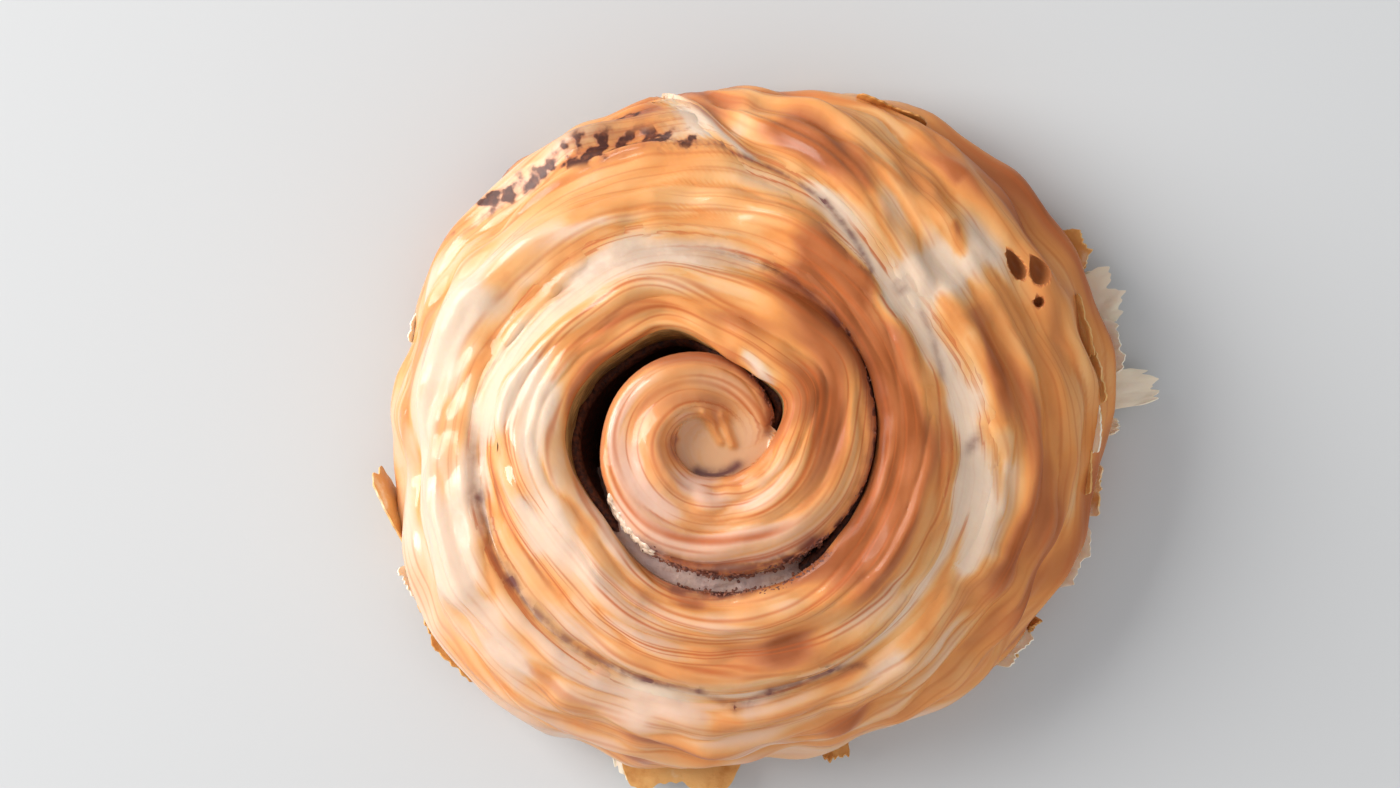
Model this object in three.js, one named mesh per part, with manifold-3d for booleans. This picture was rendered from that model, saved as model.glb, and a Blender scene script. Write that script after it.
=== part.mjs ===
// A glazed cinnamon roll: one long strip of laminated dough wound up round its heart, with a
// layer of cinnamon paste between the turns, and flakes of its skin lifting off the flank.
// Millimetres, +Z up. The roll rests on its flat base, with the origin under the middle of its box.
// Places along the strip are counted in turns from the heart outwards. They run anticlockwise
// as seen from above, and a whole number of turns lies on the heart's -Y side.

import * as THREE from "three";
import { LoftGeometry } from "three/addons/geometries/LoftGeometry.js";
import { mergeVertices } from "three/addons/utils/BufferGeometryUtils.js";
import Module from "manifold-3d";

const { clamp, degToRad, lerp, smoothstep } = THREE.MathUtils;

// Driving dimensions of the whole roll
const OUTLINE_WIDTH = 117;
const OUTLINE_DEPTH = 113;
const ROLL_HEIGHT = 38;
const WIDEST_HEIGHT = 10; // the flank is widest here, and tucks in below
const BASE_TUCK = 4;
const MOST_TUCK_SHARE = 0.3; // of the strip's width, that its tuck takes
const HEART = { x: -5.8, y: -1.8 }; // the centre of the winding, left of the outline's centre

// The strip and how it is wound
const STRIP_START = 0.12;
const STRIP_END = 3.53;
const HEART_RADIUS = 5;
const PITCH = 16.5;
const PIT_RADIUS = 6.2;
const PIT_LEAST_RADIUS = 1;
const PIT_OPENS = { top: [0.3, 0.8], base: [0.75, 1 + STRIP_START] };
const PIT_FLOOR = { radius: 7.6, height: 27, sides: 24 };
const SEAM_GAP = 1.7;
const LEFT_BULGE = { at: 1.93, spread: 0.22, size: 3.5 }; // where a turn swells outwards
const RIGHT_DENT = { at: 2.355, spread: 0.09, size: -7.5 }; // where the last turn leans on the one inside
const LAST_SEAM = { from: 2.46, to: 2.57 }; // where the strip comes out to the outline, under its own tail
const SEAM_MOUTHS = [
  { at: 0.33, spread: 0.05, size: 1.2 },
  { at: 0.66, spread: 0.13, size: 4.4 },
  { at: 1.09, spread: 0.11, size: 2.0 },
]; // stretches where the seam gapes at the top
const OUTLINE_WAVES = [
  { count: 2, size: 1.9, phase: 0.5 },
  { count: 3, size: 0.8, phase: 0.48 },
  { count: 4, size: 1.0, phase: -0.22 },
  { count: 7, size: 0.35, phase: 0.33 },
  { count: 13, size: 0.22, phase: 0.64 },
]; // how the outline strays from an ellipse, with phases in turns
const TAIL = { length: 0.06, drop: 5 }; // the strip's outer end sinks over this share of a turn

// The crown of each turn
const DOME_POWER = 3.2;
const DOME_ROUNDNESS = 0.6;
const HEART_SINK = { depth: 4, radius: 7 };
const EDGE_FALL = 2.2;
const EDGE_ROUND = 4.4;
const MOST_EDGE_SHARE = 0.45; // of the strip's width, that one rounded edge takes
const WIDE_VALLEYS = [
  { at: 1.58, spread: 0.13, size: 2.2 },
  { at: 2.29, spread: 0.13, size: 2.8 },
]; // seams whose edges fall and round off further
const FOLD_DEPTH = 0.75;
const FOLDS_ACROSS = 2.4;
const FOLD_DRIFT = { size: 0.7, rate: 4 };
const WALL_BULGE = 0.2;
const BASE_CHAMFER = 0.8;
const MOST_CHAMFER_SHARE = 0.15; // of the strip's width, that one chamfer takes

// The cinnamon layer
const PASTE_THICKNESS = 0.9;
const PASTE_CLEARANCE = 0.35;
const PASTE_START = 0.17;
const PASTE_END = 2.5;
const PASTE_BELOW_RIM = 0.9;
const PASTE_ABOVE_BASE = 0.8;

// Burst bubbles in the crust, from the heart, each as half its length along, across and into the crust
const BUBBLES = [
  { turn: 0.333, radius: 56.2, half: [1.8, 0.75, 3] },
  { turn: 0.326, radius: 59.2, half: [1.5, 0.8, 3] },
  { turn: 0.313, radius: 57.0, half: [0.6, 0.5, 2] },
];

// Flakes of crust: where they root on the flank, their length along it, how far they reach out,
// how steeply they stand and how far they swing away from the flank
const FLAKES = [
  { turn: 0.785, z: 7, along: 20, reach: 9, lift: 80, swing: 10 },
  { turn: 0.835, z: 4, along: 9, reach: 6, lift: 50, swing: -12 },
  { turn: 0.69, z: 7, along: 6, reach: 4, lift: 40, swing: 10 },
  { turn: 0.97, z: 3, along: 17, reach: 8, lift: 16, swing: -6 },
  { turn: 0.945, z: 1.8, along: 9, reach: 7, lift: 4, swing: 8 },
  { turn: 0.06, z: 3, along: 7, reach: 7, lift: 25, swing: -14 },
  { turn: 0.163, z: 5, along: 4.5, reach: 5.5, lift: 30, swing: 20 },
  { turn: 0.195, z: 6, along: 11, reach: 4.5, lift: 48, swing: -8 },
  { turn: 0.232, z: 4, along: 9, reach: 7, lift: 30, swing: 12 },
  { turn: 0.262, z: 2, along: 8, reach: 10, lift: 12, swing: -10 },
  { turn: 0.29, z: 3.2, along: 10, reach: 8.5, lift: 24, swing: 6 },
  { turn: 0.325, z: 4, along: 6, reach: 8, lift: 36, swing: -16 },
  { turn: 0.42, z: 13, along: 13, reach: 5.5, lift: 72, swing: 8 },
];
const FLAKE_THICKNESS = 0.6;
const FLAKE_ROOT = 2.5; // how deep a flake runs into the flank
const FLAKE_TEETH = 5;
const FLAKE_TEAR = { size: 0.12, perTooth: 2.1, perTurn: 50 }; // how its edge strays from a round one
const FLAKE_ARC = [0.2, 0.8]; // the stretch of a half circle that the round edge follows

// How finely the curves are faceted
const STEPS_PER_TURN = 48;
const EDGE_SHARES = [0, 0.16, 0.5, 1]; // points of a rounded edge, as shares of its width
const INNER_WALL_SHARES = [0.05, 0.35, 0.7]; // points of a wall, as shares of its height
const OUTER_WALL_SHARES = [0.75, 0.4, 0.12];
const MIDDLE_POINTS = 5;
const BUBBLE_FACETS = 10;
const WELD_DISTANCE = 1e-4;

const DOUGH_COLOUR = 0xc98548;
const PASTE_COLOUR = 0x4a2618;

// A smooth swelling along the strip
function swelling(turn, { at, spread, size }) {
  return size * Math.exp(-(((turn - at) / spread) ** 2));
}

function swellings(turn, list) {
  return list.reduce((sum, one) => sum + swelling(turn, one), 0);
}

// The unit direction from the heart at a place along the strip
function bearing(turn) {
  const angle = 2 * Math.PI * turn;
  return new THREE.Vector2(Math.sin(angle), -Math.cos(angle));
}

// How far the roll's outline, a wavy ellipse, lies from the heart
function outlineRadius(turn) {
  const d = bearing(turn);
  const a = OUTLINE_WIDTH / 2;
  const b = OUTLINE_DEPTH / 2;
  const p = (d.x / a) ** 2 + (d.y / b) ** 2;
  const q = (HEART.x * d.x) / a ** 2 + (HEART.y * d.y) / b ** 2;
  const r = (HEART.x / a) ** 2 + (HEART.y / b) ** 2 - 1;
  const ellipse = (Math.sqrt(q * q - p * r) - q) / p;
  return OUTLINE_WAVES.reduce(
    (sum, { count, size, phase }) => sum + size * Math.sin(2 * Math.PI * (count * turn + phase)),
    ellipse,
  );
}

// The outer face of the turn inside a seam
function seamRadius(turn) {
  return HEART_RADIUS + PITCH * turn + swelling(turn, LEFT_BULGE) + swelling(turn, RIGHT_DENT);
}

// How far the strip has come out to the outline, with no turn outside it: 0 to 1
function outermost(turn) {
  return smoothstep(turn, LAST_SEAM.from, LAST_SEAM.to);
}

function outerRadius(turn) {
  return lerp(seamRadius(turn), outlineRadius(turn), outermost(turn));
}

// The inner face of the strip, at its top or at its base
function innerRadius(turn, level) {
  const mouth = level === "top" ? swellings(turn - 1, SEAM_MOUTHS) : 0;
  const besideTurn = outerRadius(turn - 1) + SEAM_GAP + mouth;
  const opened = smoothstep(turn, ...PIT_OPENS[level]);
  return lerp(PIT_LEAST_RADIUS, Math.max(PIT_RADIUS, besideTurn), opened);
}

function domeHeight(turn, radius) {
  const share = clamp(radius / outlineRadius(turn), 0, 1);
  const dome = (1 - share ** DOME_POWER) ** DOME_ROUNDNESS;
  const sink = HEART_SINK.depth * Math.exp(-((radius / HEART_SINK.radius) ** 2));
  return WIDEST_HEIGHT + (ROLL_HEIGHT - WIDEST_HEIGHT) * dome - sink;
}

// How far the crown falls at a distance from its edge
function edgeFall(distance, { fall, round }) {
  return fall * clamp(1 - distance / round, 0, 1) ** 2;
}

// The rounded edge of the strip beside a seam
function edgeAt(seam, width) {
  const further = swellings(seam, WIDE_VALLEYS);
  return { fall: EDGE_FALL + further, round: Math.min(EDGE_ROUND + further, width * MOST_EDGE_SHARE) };
}

// The top of the strip from its inner to its outer face, as points of radius and height
function crown(turn) {
  const inner = innerRadius(turn, "top");
  const width = outerRadius(turn) - inner;
  const innerEdge = edgeAt(turn - 1, width);
  const outerEdge = edgeAt(turn, width);
  const distances = EDGE_SHARES.map((share) => share * innerEdge.round);
  for (let i = 1; i <= MIDDLE_POINTS; i++) {
    distances.push(lerp(innerEdge.round, width - outerEdge.round, i / (MIDDLE_POINTS + 1)));
  }
  distances.push(...EDGE_SHARES.map((share) => width - share * outerEdge.round).reverse());

  const drift = FOLD_DRIFT.size * Math.sin(FOLD_DRIFT.rate * turn);
  const drop = TAIL.drop * smoothstep(turn, STRIP_END - TAIL.length, STRIP_END);
  return distances.map((distance) => {
    const share = distance / width;
    const foldDepth = FOLD_DEPTH * Math.sin(Math.PI * share);
    const fold = foldDepth * Math.cos(2 * Math.PI * (FOLDS_ACROSS * share + drift));
    const innerFall = edgeFall(distance, innerEdge);
    const outerFall = (1 - outermost(turn)) * edgeFall(width - distance, outerEdge);
    return [inner + distance, domeHeight(turn, inner + distance) + fold - innerFall - outerFall - drop];
  });
}

// The strip's cross-section: up its inner wall, over the crown, down its outer wall, to its base
function stripSection(turn) {
  const top = crown(turn);
  const [inner, innerTop] = top[0];
  const [outer, outerTop] = top[top.length - 1];
  const innerBase = innerRadius(turn, "base");
  const width = outer - inner;
  const tuck = outermost(turn) * Math.min(BASE_TUCK, MOST_TUCK_SHARE * width);
  const chamfer = Math.min(BASE_CHAMFER, MOST_CHAMFER_SHARE * width);
  const bulge = (share) => WALL_BULGE * Math.sin(Math.PI * share);
  const innerWall = INNER_WALL_SHARES.map((share) => [
    lerp(innerBase, inner, share) + bulge(share),
    innerTop * share,
  ]);
  const outerWall = OUTER_WALL_SHARES.map((share) => [
    outer + bulge(share) - tuck * (1 - share) ** 2,
    outerTop * share,
  ]);
  const base = [
    [outer - tuck - chamfer, 0],
    [innerBase + chamfer, 0],
  ];
  return [...innerWall, ...top, ...outerWall, ...base];
}

// The paste's cross-section in the seam at a place, against the inner face of the turn outside
function pasteSection(turn) {
  const rim = Math.min(crown(turn).at(-1)[1], crown(turn + 1)[0][1]) - PASTE_BELOW_RIM;
  const atTop = innerRadius(turn + 1, "top") - PASTE_CLEARANCE;
  const atBase = innerRadius(turn + 1, "base") - PASTE_CLEARANCE;
  return [
    [atBase - PASTE_THICKNESS, PASTE_ABOVE_BASE],
    [atTop - PASTE_THICKNESS, rim],
    [atTop, rim],
    [atBase, PASTE_ABOVE_BASE],
  ];
}

// Sections of radius and height along the winding, skinned into one closed geometry
function wind(sectionAt, start, end) {
  const sections = [];
  for (let step = Math.ceil(start * STEPS_PER_TURN); step <= end * STEPS_PER_TURN; step++) {
    const turn = step / STEPS_PER_TURN;
    const d = bearing(turn);
    const place = ([radius, z]) => new THREE.Vector3(HEART.x + d.x * radius, HEART.y + d.y * radius, z);
    sections.push(sectionAt(turn).map(place));
  }
  return new LoftGeometry(sections, { capStart: true, capEnd: true });
}

// A frame on the flank: x back along the strip, y outwards, z up
function flankFrame(turn, radius, z) {
  const d = bearing(turn);
  const along = new THREE.Vector3(d.y, -d.x, 0);
  const outwards = new THREE.Vector3(d.x, d.y, 0);
  return new THREE.Matrix4()
    .makeBasis(along, outwards, new THREE.Vector3(0, 0, 1))
    .setPosition(HEART.x + d.x * radius, HEART.y + d.y * radius, z);
}

// A thin plate with a torn outer edge, rooted in the flank
function flakeGeometry({ turn, z, along, reach, lift, swing }) {
  const outline = new THREE.Shape();
  outline.moveTo(along / 2, -FLAKE_ROOT);
  for (let tooth = 0; tooth <= FLAKE_TEETH; tooth++) {
    const share = tooth / FLAKE_TEETH;
    const torn = Math.cos(FLAKE_TEAR.perTooth * tooth + FLAKE_TEAR.perTurn * turn) - 1;
    const round = Math.sin(Math.PI * lerp(...FLAKE_ARC, share));
    outline.lineTo(lerp(along / 2, -along / 2, share), reach * round * (1 + FLAKE_TEAR.size * torn));
  }
  outline.lineTo(-along / 2, -FLAKE_ROOT);
  const plate = new THREE.ExtrudeGeometry(outline, { depth: FLAKE_THICKNESS, bevelEnabled: false });
  plate.rotateX(degToRad(lift)).rotateZ(degToRad(swing));
  const tuck = BASE_TUCK * (1 - Math.min(z / WIDEST_HEIGHT, 1)) ** 2;
  return plate.applyMatrix4(flankFrame(turn, outlineRadius(turn) - tuck, z));
}

// An ellipsoid that opens a burst bubble in the crust
function bubbleGeometry({ turn, radius, half }) {
  const [along, across, depth] = half;
  return new THREE.SphereGeometry(1, BUBBLE_FACETS, BUBBLE_FACETS / 2)
    .scale(along, across, depth)
    .applyMatrix4(flankFrame(turn, radius, domeHeight(turn, radius)));
}

const wasm = await Module();
wasm.setup();

// A closed geometry as a solid that can be joined and cut
function solid(geometry) {
  const bare = new THREE.BufferGeometry();
  bare.setAttribute("position", geometry.attributes.position);
  bare.setIndex(geometry.index);
  const merged = mergeVertices(bare, WELD_DISTANCE);
  const vertProperties = merged.attributes.position.array;
  const triVerts = new Uint32Array(merged.index.array);
  return new wasm.Manifold(new wasm.Mesh({ numProp: 3, vertProperties, triVerts }));
}

function geometryOf(manifold) {
  const { vertProperties, triVerts } = manifold.getMesh();
  const geometry = new THREE.BufferGeometry();
  geometry.setAttribute("position", new THREE.BufferAttribute(vertProperties, 3));
  geometry.setIndex(new THREE.BufferAttribute(triVerts, 1));
  geometry.computeVertexNormals();
  return geometry;
}

function node(name, geometry, material) {
  const mesh = new THREE.Mesh(geometry, new THREE.MeshStandardMaterial(material));
  mesh.name = name;
  return mesh;
}

// The dough with the floor of its pit and its flakes, and its bubbles opened
const { radius: floorRadius, height: floorHeight, sides: floorSides } = PIT_FLOOR;
const pitFloor = new THREE.CylinderGeometry(floorRadius, floorRadius, floorHeight, floorSides)
  .rotateX(Math.PI / 2)
  .translate(HEART.x, HEART.y, floorHeight / 2);
let dough = solid(wind(stripSection, STRIP_START, STRIP_END)).add(solid(pitFloor));
for (const flake of FLAKES) dough = dough.add(solid(flakeGeometry(flake)));
for (const bubble of BUBBLES) dough = dough.subtract(solid(bubbleGeometry(bubble)));

const roll = new THREE.Group();
roll.add(
  node("dough_coil", geometryOf(dough), { color: DOUGH_COLOUR, roughness: 0.45, metalness: 0 }),
  node("cinnamon_paste", wind(pasteSection, PASTE_START, PASTE_END), {
    color: PASTE_COLOUR,
    roughness: 0.6,
    metalness: 0,
  }),
);

// The origin lies under the middle of the roll's box
const middle = new THREE.Box3().setFromObject(roll).getCenter(new THREE.Vector3());
roll.position.set(-middle.x, -middle.y, 0);

const cinnamonRoll = new THREE.Group();
cinnamonRoll.add(roll);

export default cinnamonRoll;
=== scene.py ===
import math

import bpy
import numpy as np
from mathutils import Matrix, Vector, noise


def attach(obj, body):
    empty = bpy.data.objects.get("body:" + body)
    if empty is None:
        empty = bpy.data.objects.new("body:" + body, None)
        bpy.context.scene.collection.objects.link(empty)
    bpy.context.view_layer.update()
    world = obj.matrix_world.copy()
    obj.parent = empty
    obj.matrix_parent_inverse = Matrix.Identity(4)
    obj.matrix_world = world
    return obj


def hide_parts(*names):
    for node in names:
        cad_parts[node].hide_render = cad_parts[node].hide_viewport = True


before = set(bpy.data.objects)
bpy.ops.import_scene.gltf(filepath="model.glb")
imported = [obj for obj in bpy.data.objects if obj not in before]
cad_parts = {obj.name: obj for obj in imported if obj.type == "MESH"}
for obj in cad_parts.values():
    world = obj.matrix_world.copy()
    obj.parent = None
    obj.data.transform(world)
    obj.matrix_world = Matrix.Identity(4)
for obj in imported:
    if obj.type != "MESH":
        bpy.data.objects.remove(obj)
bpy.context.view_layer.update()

# A glazed cinnamon roll. Lengths are in millimetres until MM turns them into Blender's metres.
# A place along the strip of dough is counted in turns from the heart outwards, anticlockwise as
# seen from above, and a whole number of turns lies on the heart's -Y side.
# A bearing is the same angle in degrees, and a radius is the distance from the heart.
MM = 0.001
BODY = "root"

# The whole roll
HEART = (-8.6, 0.5)
OUTLINE_CENTRE = (5.8, 1.8)  # from the heart
OUTLINE_HALF = (58.5, 56.5)
OUTLINE_WAVES = (
    # How many waves there are round the outline, how deep they are, and their phase in turns
    (2, 1.9, 0.5),
    (3, 0.8, 0.48),
    (4, 1.0, -0.22),
    (7, 0.35, 0.33),
    (13, 0.22, 0.64),
)
ROLL_HEIGHT = 38.0
WIDEST_HEIGHT = 10.0
BASE_TUCK = 4.0
BASE_TUCK_MOST = 0.3  # as a share of the strip's width
BASE_ROUND = 0.6
DOME_POWER = 3.2
DOME_ROUNDNESS = 0.6
HEART_SINK = 4.0
HEART_SINK_RADIUS = 7.0

# The winding. A swelling along it is its place in turns, its spread and its size
STRIP_START = 0.2
STRIP_END = 3.525
HEART_RADIUS = 5.0
PITCH = 16.5
PIT_RADIUS = 6.2
PIT_LEAST_RADIUS = 1.0
PIT_OPENS = {"top": (0.34, 0.8), "base": (0.75, 1.12)}
OPEN_SEAM_GAP = 0.5
SHUT_SEAM_GAP = 0.1
SEAM_SHUTS = (1.24, 1.42)
LEFT_BULGE = (1.87, 0.24, 3.6)
RIGHT_DENT = (2.355, 0.09, -7.5)
LAST_SEAM = (2.475, 2.53)
SEAM_MOUTHS = (
    (0.33, 0.05, 2.0),
    (0.56, 0.05, 2.9),
    (0.66, 0.09, 4.2),
    (0.76, 0.08, 4.2),
    (0.95, 0.09, 2.5),
    (1.09, 0.08, 2.1),
)
MOUTH_SLANT = 0.7  # how soon the wall of an open seam comes back to the turn inside it
START_LENGTH = 0.5
START_DROP = 3.8
START_ROUND = 4.0
TAIL_LENGTH = 0.02
TAIL_DROP = 1.5
TAIL_ROUND = 1.5
END_BLUNTNESS = 0.01

# The crown of each turn
EDGE_FALL = 1.7
EDGE_ROUND = 4.6
EDGE_ROUND_MOST = 0.45  # as a share of the strip's width
HEART_EDGE_FALL = 0.3  # the share of the fall that is left in the heart
HEART_EDGE_ENDS = (-0.3, 0.5)  # the turns between which the whole fall comes back
LIP_ROUND = 1.0
LIP_ROUND_MOST = 0.2
LIP_CRUST = 1.0  # how far down the wall of a seam the crust still looks baked
WIDE_VALLEYS = (
    (1.58, 0.13, 2.2),
    (1.77, 0.07, 1.4),
    (2.29, 0.13, 2.8),
)
RELIEF = {
    # Its depth, its size along and across the strip, and the layer of noise that it is taken from
    "fold": (2.2, 34.0, 4.4, 3.7),
    "lump": (1.4, 15.0, 9.0, 6.4),
    "dimple": (0.7, 6.0, 3.6, 9.1),
    "crease": (1.3, 34.0, 3.8, 7.7),
    "fine_crease": (0.22, 26.0, 1.7, 1.2),
    "flank_lump": (2.3, 9.0, 5.0, 2.8),
}
WALL_LAYERS = (0.9, 9.0, 2.1, 1.9)  # the same for the wall of a seam, with the size down it
CREASE_BEND = {"crease": 0.15, "fine_crease": 0.1}  # how much the dimples bend the creases
CREASE_SHARPNESS = 0.7
RIM_SHARPNESS = 0.35  # how quickly the relief dies out at the rims of the crown
FLANK_RELIEF = 0.7
FLANK_LUMPS = (0.8, 0.95)  # the shares of the outline's radius between which they begin

# How milky the sugar film looks: 0 where brown crust shows, 1 where it has pooled. It is thin on one
# side and thick on the other, and of each pair of values for the sides the first is for the thin one.
# The thick side faces the window lamp: there the film is whiter and its patches larger, partly as painted
# sheen, and the crests of the folds are whiter as painted highlight, while on the thin side they are less
# milky
THICK_BEARING = 300
MILK_AND_SHEEN_SIDES = (0.28, 0.66)
DRIFT_AND_SHEEN_SIDES = (0.8, 1.8)
FOLD_MILK_AND_HIGHLIGHT_SIDES = (-0.2, 0.3)
DRIFTS = (
    # Patches that the film gathers in, given in the same way as the relief
    (0.35, 24.0, 7.0, 5.3),
    (0.35, 12.0, 3.4, 8.8),
)
FILM_MILK = 0.95  # it is no milkier than this outside a pool
POOL_MILK = (0.75, 1.0)  # where it is about to be a pool, and where it is one
RIM_WIDTH = 1.2
INNER_RIM_BARE = 0.25
OUTER_RIM_BARE = 0.3
CREASE_LINES = {"crease": (0.08, 0.3), "fine_crease": (0.12, 0.17)}  # half width, and film lost
POOL_HIDES = 0.8  # the share of a line that a pool hides
LINE_MILK = 0.33  # a line is no browner than this
OUTSIDE_TURNS = (2.0, 2.5)  # between these the strip becomes the outside of the roll
OUTSIDE_FINE_LINES = 0.4
OUTSIDE_LAYERS = 0.5
WET_BEARING = 275
WET_LEAST = 0.12
ROSY_TURNS = (1.0, 1.35)  # the inner turns, under a pinker glaze
ROSY_BEARING = 350
ROSY_SIDE = (50, 0.6)  # how far the glaze is pinker round that bearing too, and how much
SMEAR_LOWEST = (12.0, 16.0)  # the heights between which the smear fades out down the flank

# How finely things are meshed and measured
STATION_STEP = 0.9
CROWN_POINTS = 78
INNER_WALL_POINTS = 16
OUTER_WALL_POINTS = 8
BASE_POINTS = 5
WALL_SPACING = 0.7  # below 1 the points of a wall lie closer together near its top
CROWN_SAMPLES = 200
LENGTH_SAMPLES = 4000
MERGE_DISTANCE = 0.002
SMOOTH_ANGLE = 60
RAY_HEIGHT = 100.0
TINY = 1e-9

# Strokes over the top of the roll. Each runs from a bearing and radius to another bearing and
# radius, and then come its half width and its strength.
RIDGES = (
    (64, 48.0, 92, 44.8, 2.2, 1.5),
    (92, 44.8, 121, 44.8, 2.4, 1.6),
    (70, 49.5, 112, 48.8, 1.3, -0.9),
    (62, 51.0, 112, 51.5, 2.0, 0.9),
    (68, 54.0, 108, 54.5, 1.4, -0.7),
    (134, 49.0, 174, 54.0, 2.6, 0.9),
    (140, 52.5, 172, 54.0, 1.2, -0.8),
    (254, 33.0, 286, 31.0, 2.0, 0.8),
    (262, 36.0, 278, 32.0, 1.2, -0.8),
    (195, 39.5, 240, 42.5, 2.2, 0.9),
    (204, 37.4, 231, 38.6, 2.2, 1.1),
    (231, 36.4, 246, 38.4, 1.8, -1.3),
    (240, 44.5, 300, 45.0, 3.0, 1.2),
    (330, 46.5, 380, 47.5, 2.2, 0.8),
    (60, 45.6, 80, 43.0, 2.0, -1.6),
    (48, 33.0, 54, 40.0, 1.6, -0.7),
)
# How much milkier or barer the film is under each stroke; some strokes are painted sheen and glints
MILK_AND_SHEEN = (
    # Pools and runs
    (168, 28.8, 205, 31.5, 3.0, 0.5),
    (205, 31.5, 240, 36.5, 2.6, 0.1),
    (262, 37.5, 292, 38.8, 1.6, 0.6),
    (64, 45.2, 76, 43.4, 1.8, 0.9),
    (76, 43.4, 98, 39.5, 2.6, 0.9),
    (98, 39.5, 128, 37.0, 2.8, 0.9),
    (127, 37.0, 125, 52.0, 4.4, 0.8),
    (128, 44.0, 146, 50.0, 4.0, 0.26),
    (128, 40.0, 154, 45.0, 3.4, 0.3),
    (136, 37.6, 156, 43.0, 1.8, 0.35),
    (314, 48.3, 321, 48.9, 1.6, 0.4),
    (207, 38.4, 229, 39.0, 1.6, 0.35),
    (187, 55.0, 181, 49.5, 1.6, 0.7),
    # The next two are partly painted sheen on the left, where the roll faces the window lamp
    (240, 43.5, 296, 45.4, 3.6, 0.75),
    (255, 28.0, 300, 29.5, 2.2, 0.25),
    (165, 41.0, 215, 43.0, 3.8, 0.3),
    (225, 13.5, 330, 15.5, 2.6, 0.2),
    (322, 44.0, 346, 45.5, 2.6, 0.3),
    (8, 43.5, 40, 45.5, 1.6, 0.4),
    (335, 43.0, 358, 44.5, 1.6, 0.3),
    (175, 50.5, 188, 49.5, 2.0, 0.6),
    # Painted glints on a rim near the heart, then white glaze with painted glints on a rim of the open seam
    (134, 13.0, 158, 14.6, 1.0, 0.7),
    (303, 18.4, 336, 19.9, 0.9, 0.9),
    (98, 43.2, 112, 43.8, 1.5, 0.4),
    (68, 48.2, 84, 47.2, 1.6, 0.35),
    (328, 45.0, 345, 45.4, 2.0, 0.35),
    (130, 54.0, 162, 56.0, 3.0, 0.12),
    (185, 23.0, 250, 25.0, 3.2, 0.06),
    # Bare crust
    (186, 48.2, 228, 52.6, 3.0, -0.15),
    (222, 29.0, 240, 30.0, 1.8, -0.28),
    (149, 47.5, 165, 50.6, 3.0, -0.56),
    (231, 36.6, 246, 38.4, 1.6, -0.4),
    (117, 43.4, 123, 45.0, 1.8, -0.08),
    (94, 46.0, 116, 46.4, 1.6, -0.35),
    (60, 29.5, 150, 30.5, 3.8, -0.5),
    (20, 33.5, 66, 32.0, 3.4, -0.44),
    (52, 54.5, 85, 54.5, 3.5, -0.18),
    (335, 46.5, 375, 47.0, 2.8, -0.13),
    (55, 18.0, 120, 20.5, 3.4, -0.22),
    (252, 22.8, 305, 24.6, 1.7, -0.32),
    (292, 42.5, 304, 43.5, 1.8, -0.2),
    (306, 33.4, 316, 34.0, 1.4, -0.35),
    (324, 47.0, 326, 47.3, 1.1, -0.2),
    (346, 51.5, 360, 52.0, 2.6, -0.35),
    (305, 24.6, 355, 26.2, 1.6, -0.26),
    (270, 32.6, 284, 31.4, 1.7, -0.45),
    (300, 49.5, 335, 50.5, 2.6, -0.2),
    (127, 49.6, 131, 51.2, 0.9, -0.6),
    (137, 56.8, 146, 57.6, 1.0, -0.3),
)
CINNAMON = (
    # The smear beside the loose end
    (184, 47.8, 205, 50.2, 2.4, 0.5),
    (189, 48.6, 203, 50.0, 1.8, 0.34),
    (208, 50.8, 234, 53.6, 1.5, 0.5),
    (192, 53.8, 206, 54.4, 0.7, 0.7),
    # The rims of the open seam
    (-34, 19.9, 44, 23.4, 0.6, 0.62),
    (-12, 23.9, 44, 25.6, 0.45, 0.62),
    (44, 23.4, 130, 27.4, 0.5, 0.5),
    (97, 9.4, 150, 11.8, 0.7, 0.62),
)
TRACES_AND_PAINTED_SHADE = (
    # Soft lines where the shut seam shows through the glaze, and painted shade over a pool and under the
    # heart's lip
    (132, 26.8, 162, 28.8, 1.1, 0.7),
    (136, 36.5, 155, 42.0, 0.6, 0.85),
    (155, 42.0, 183, 47.2, 0.5, 0.8),
    (268, 38.0, 284, 38.6, 1.4, 0.3),
    (284, 38.6, 305, 39.2, 1.3, 0.6),
    (305, 39.2, 345, 39.8, 0.9, 0.8),
    (345, 39.8, 357, 40.2, 0.6, 0.8),
    (357, 40.2, 365, 42.8, 0.6, 0.5),
    (5, 42.8, 13, 41.5, 0.6, 0.7),
    (13, 41.4, 27, 41.3, 1.0, 0.8),
    (27, 41.4, 34, 43.4, 0.6, 0.7),
    # Single specks
    (88, 41.0, 91, 42.6, 0.9, 0.7),
    (105, 37.8, 122, 39.0, 0.6, 0.5),
    (129, 38.2, 129, 38.9, 1.0, 0.7),
    # Painted shade over the pool beside the open seam, and the brown ground of the smear
    (172, 29.0, 226, 34.0, 2.6, 0.27),
    (187, 50.8, 205, 52.6, 2.2, 0.4),
    # The brown rims of the open seam, and a painted shadow under the lip of the heart
    (-34, 19.4, 44, 22.8, 1.5, 0.9),
    (-14, 23.8, 44, 25.6, 0.9, 0.9),
    (44, 23.0, 135, 27.2, 1.1, 0.45),
    (50, 25.6, 130, 28.6, 0.8, 0.35),
    (97, 9.0, 150, 11.8, 1.0, 0.7),
    (-25, 5.6, 45, 5.8, 0.9, 1.0),
)


def smoothstep(value, low, high):
    share = np.clip((value - low) / (high - low), 0, 1)
    return share * share * (3 - 2 * share)


def lerp(a, b, share):
    return a + (b - a) * share


def swelling(value, at, spread, size):
    return size * np.exp(-(((value - at) / spread) ** 2))


def swellings(value, places):
    return sum(swelling(value, *place) for place in places)


def angle_from(start, bearing):
    """The angle in degrees from one bearing to another, the shorter way round."""
    return (bearing - start + 180) % 360 - 180


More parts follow.
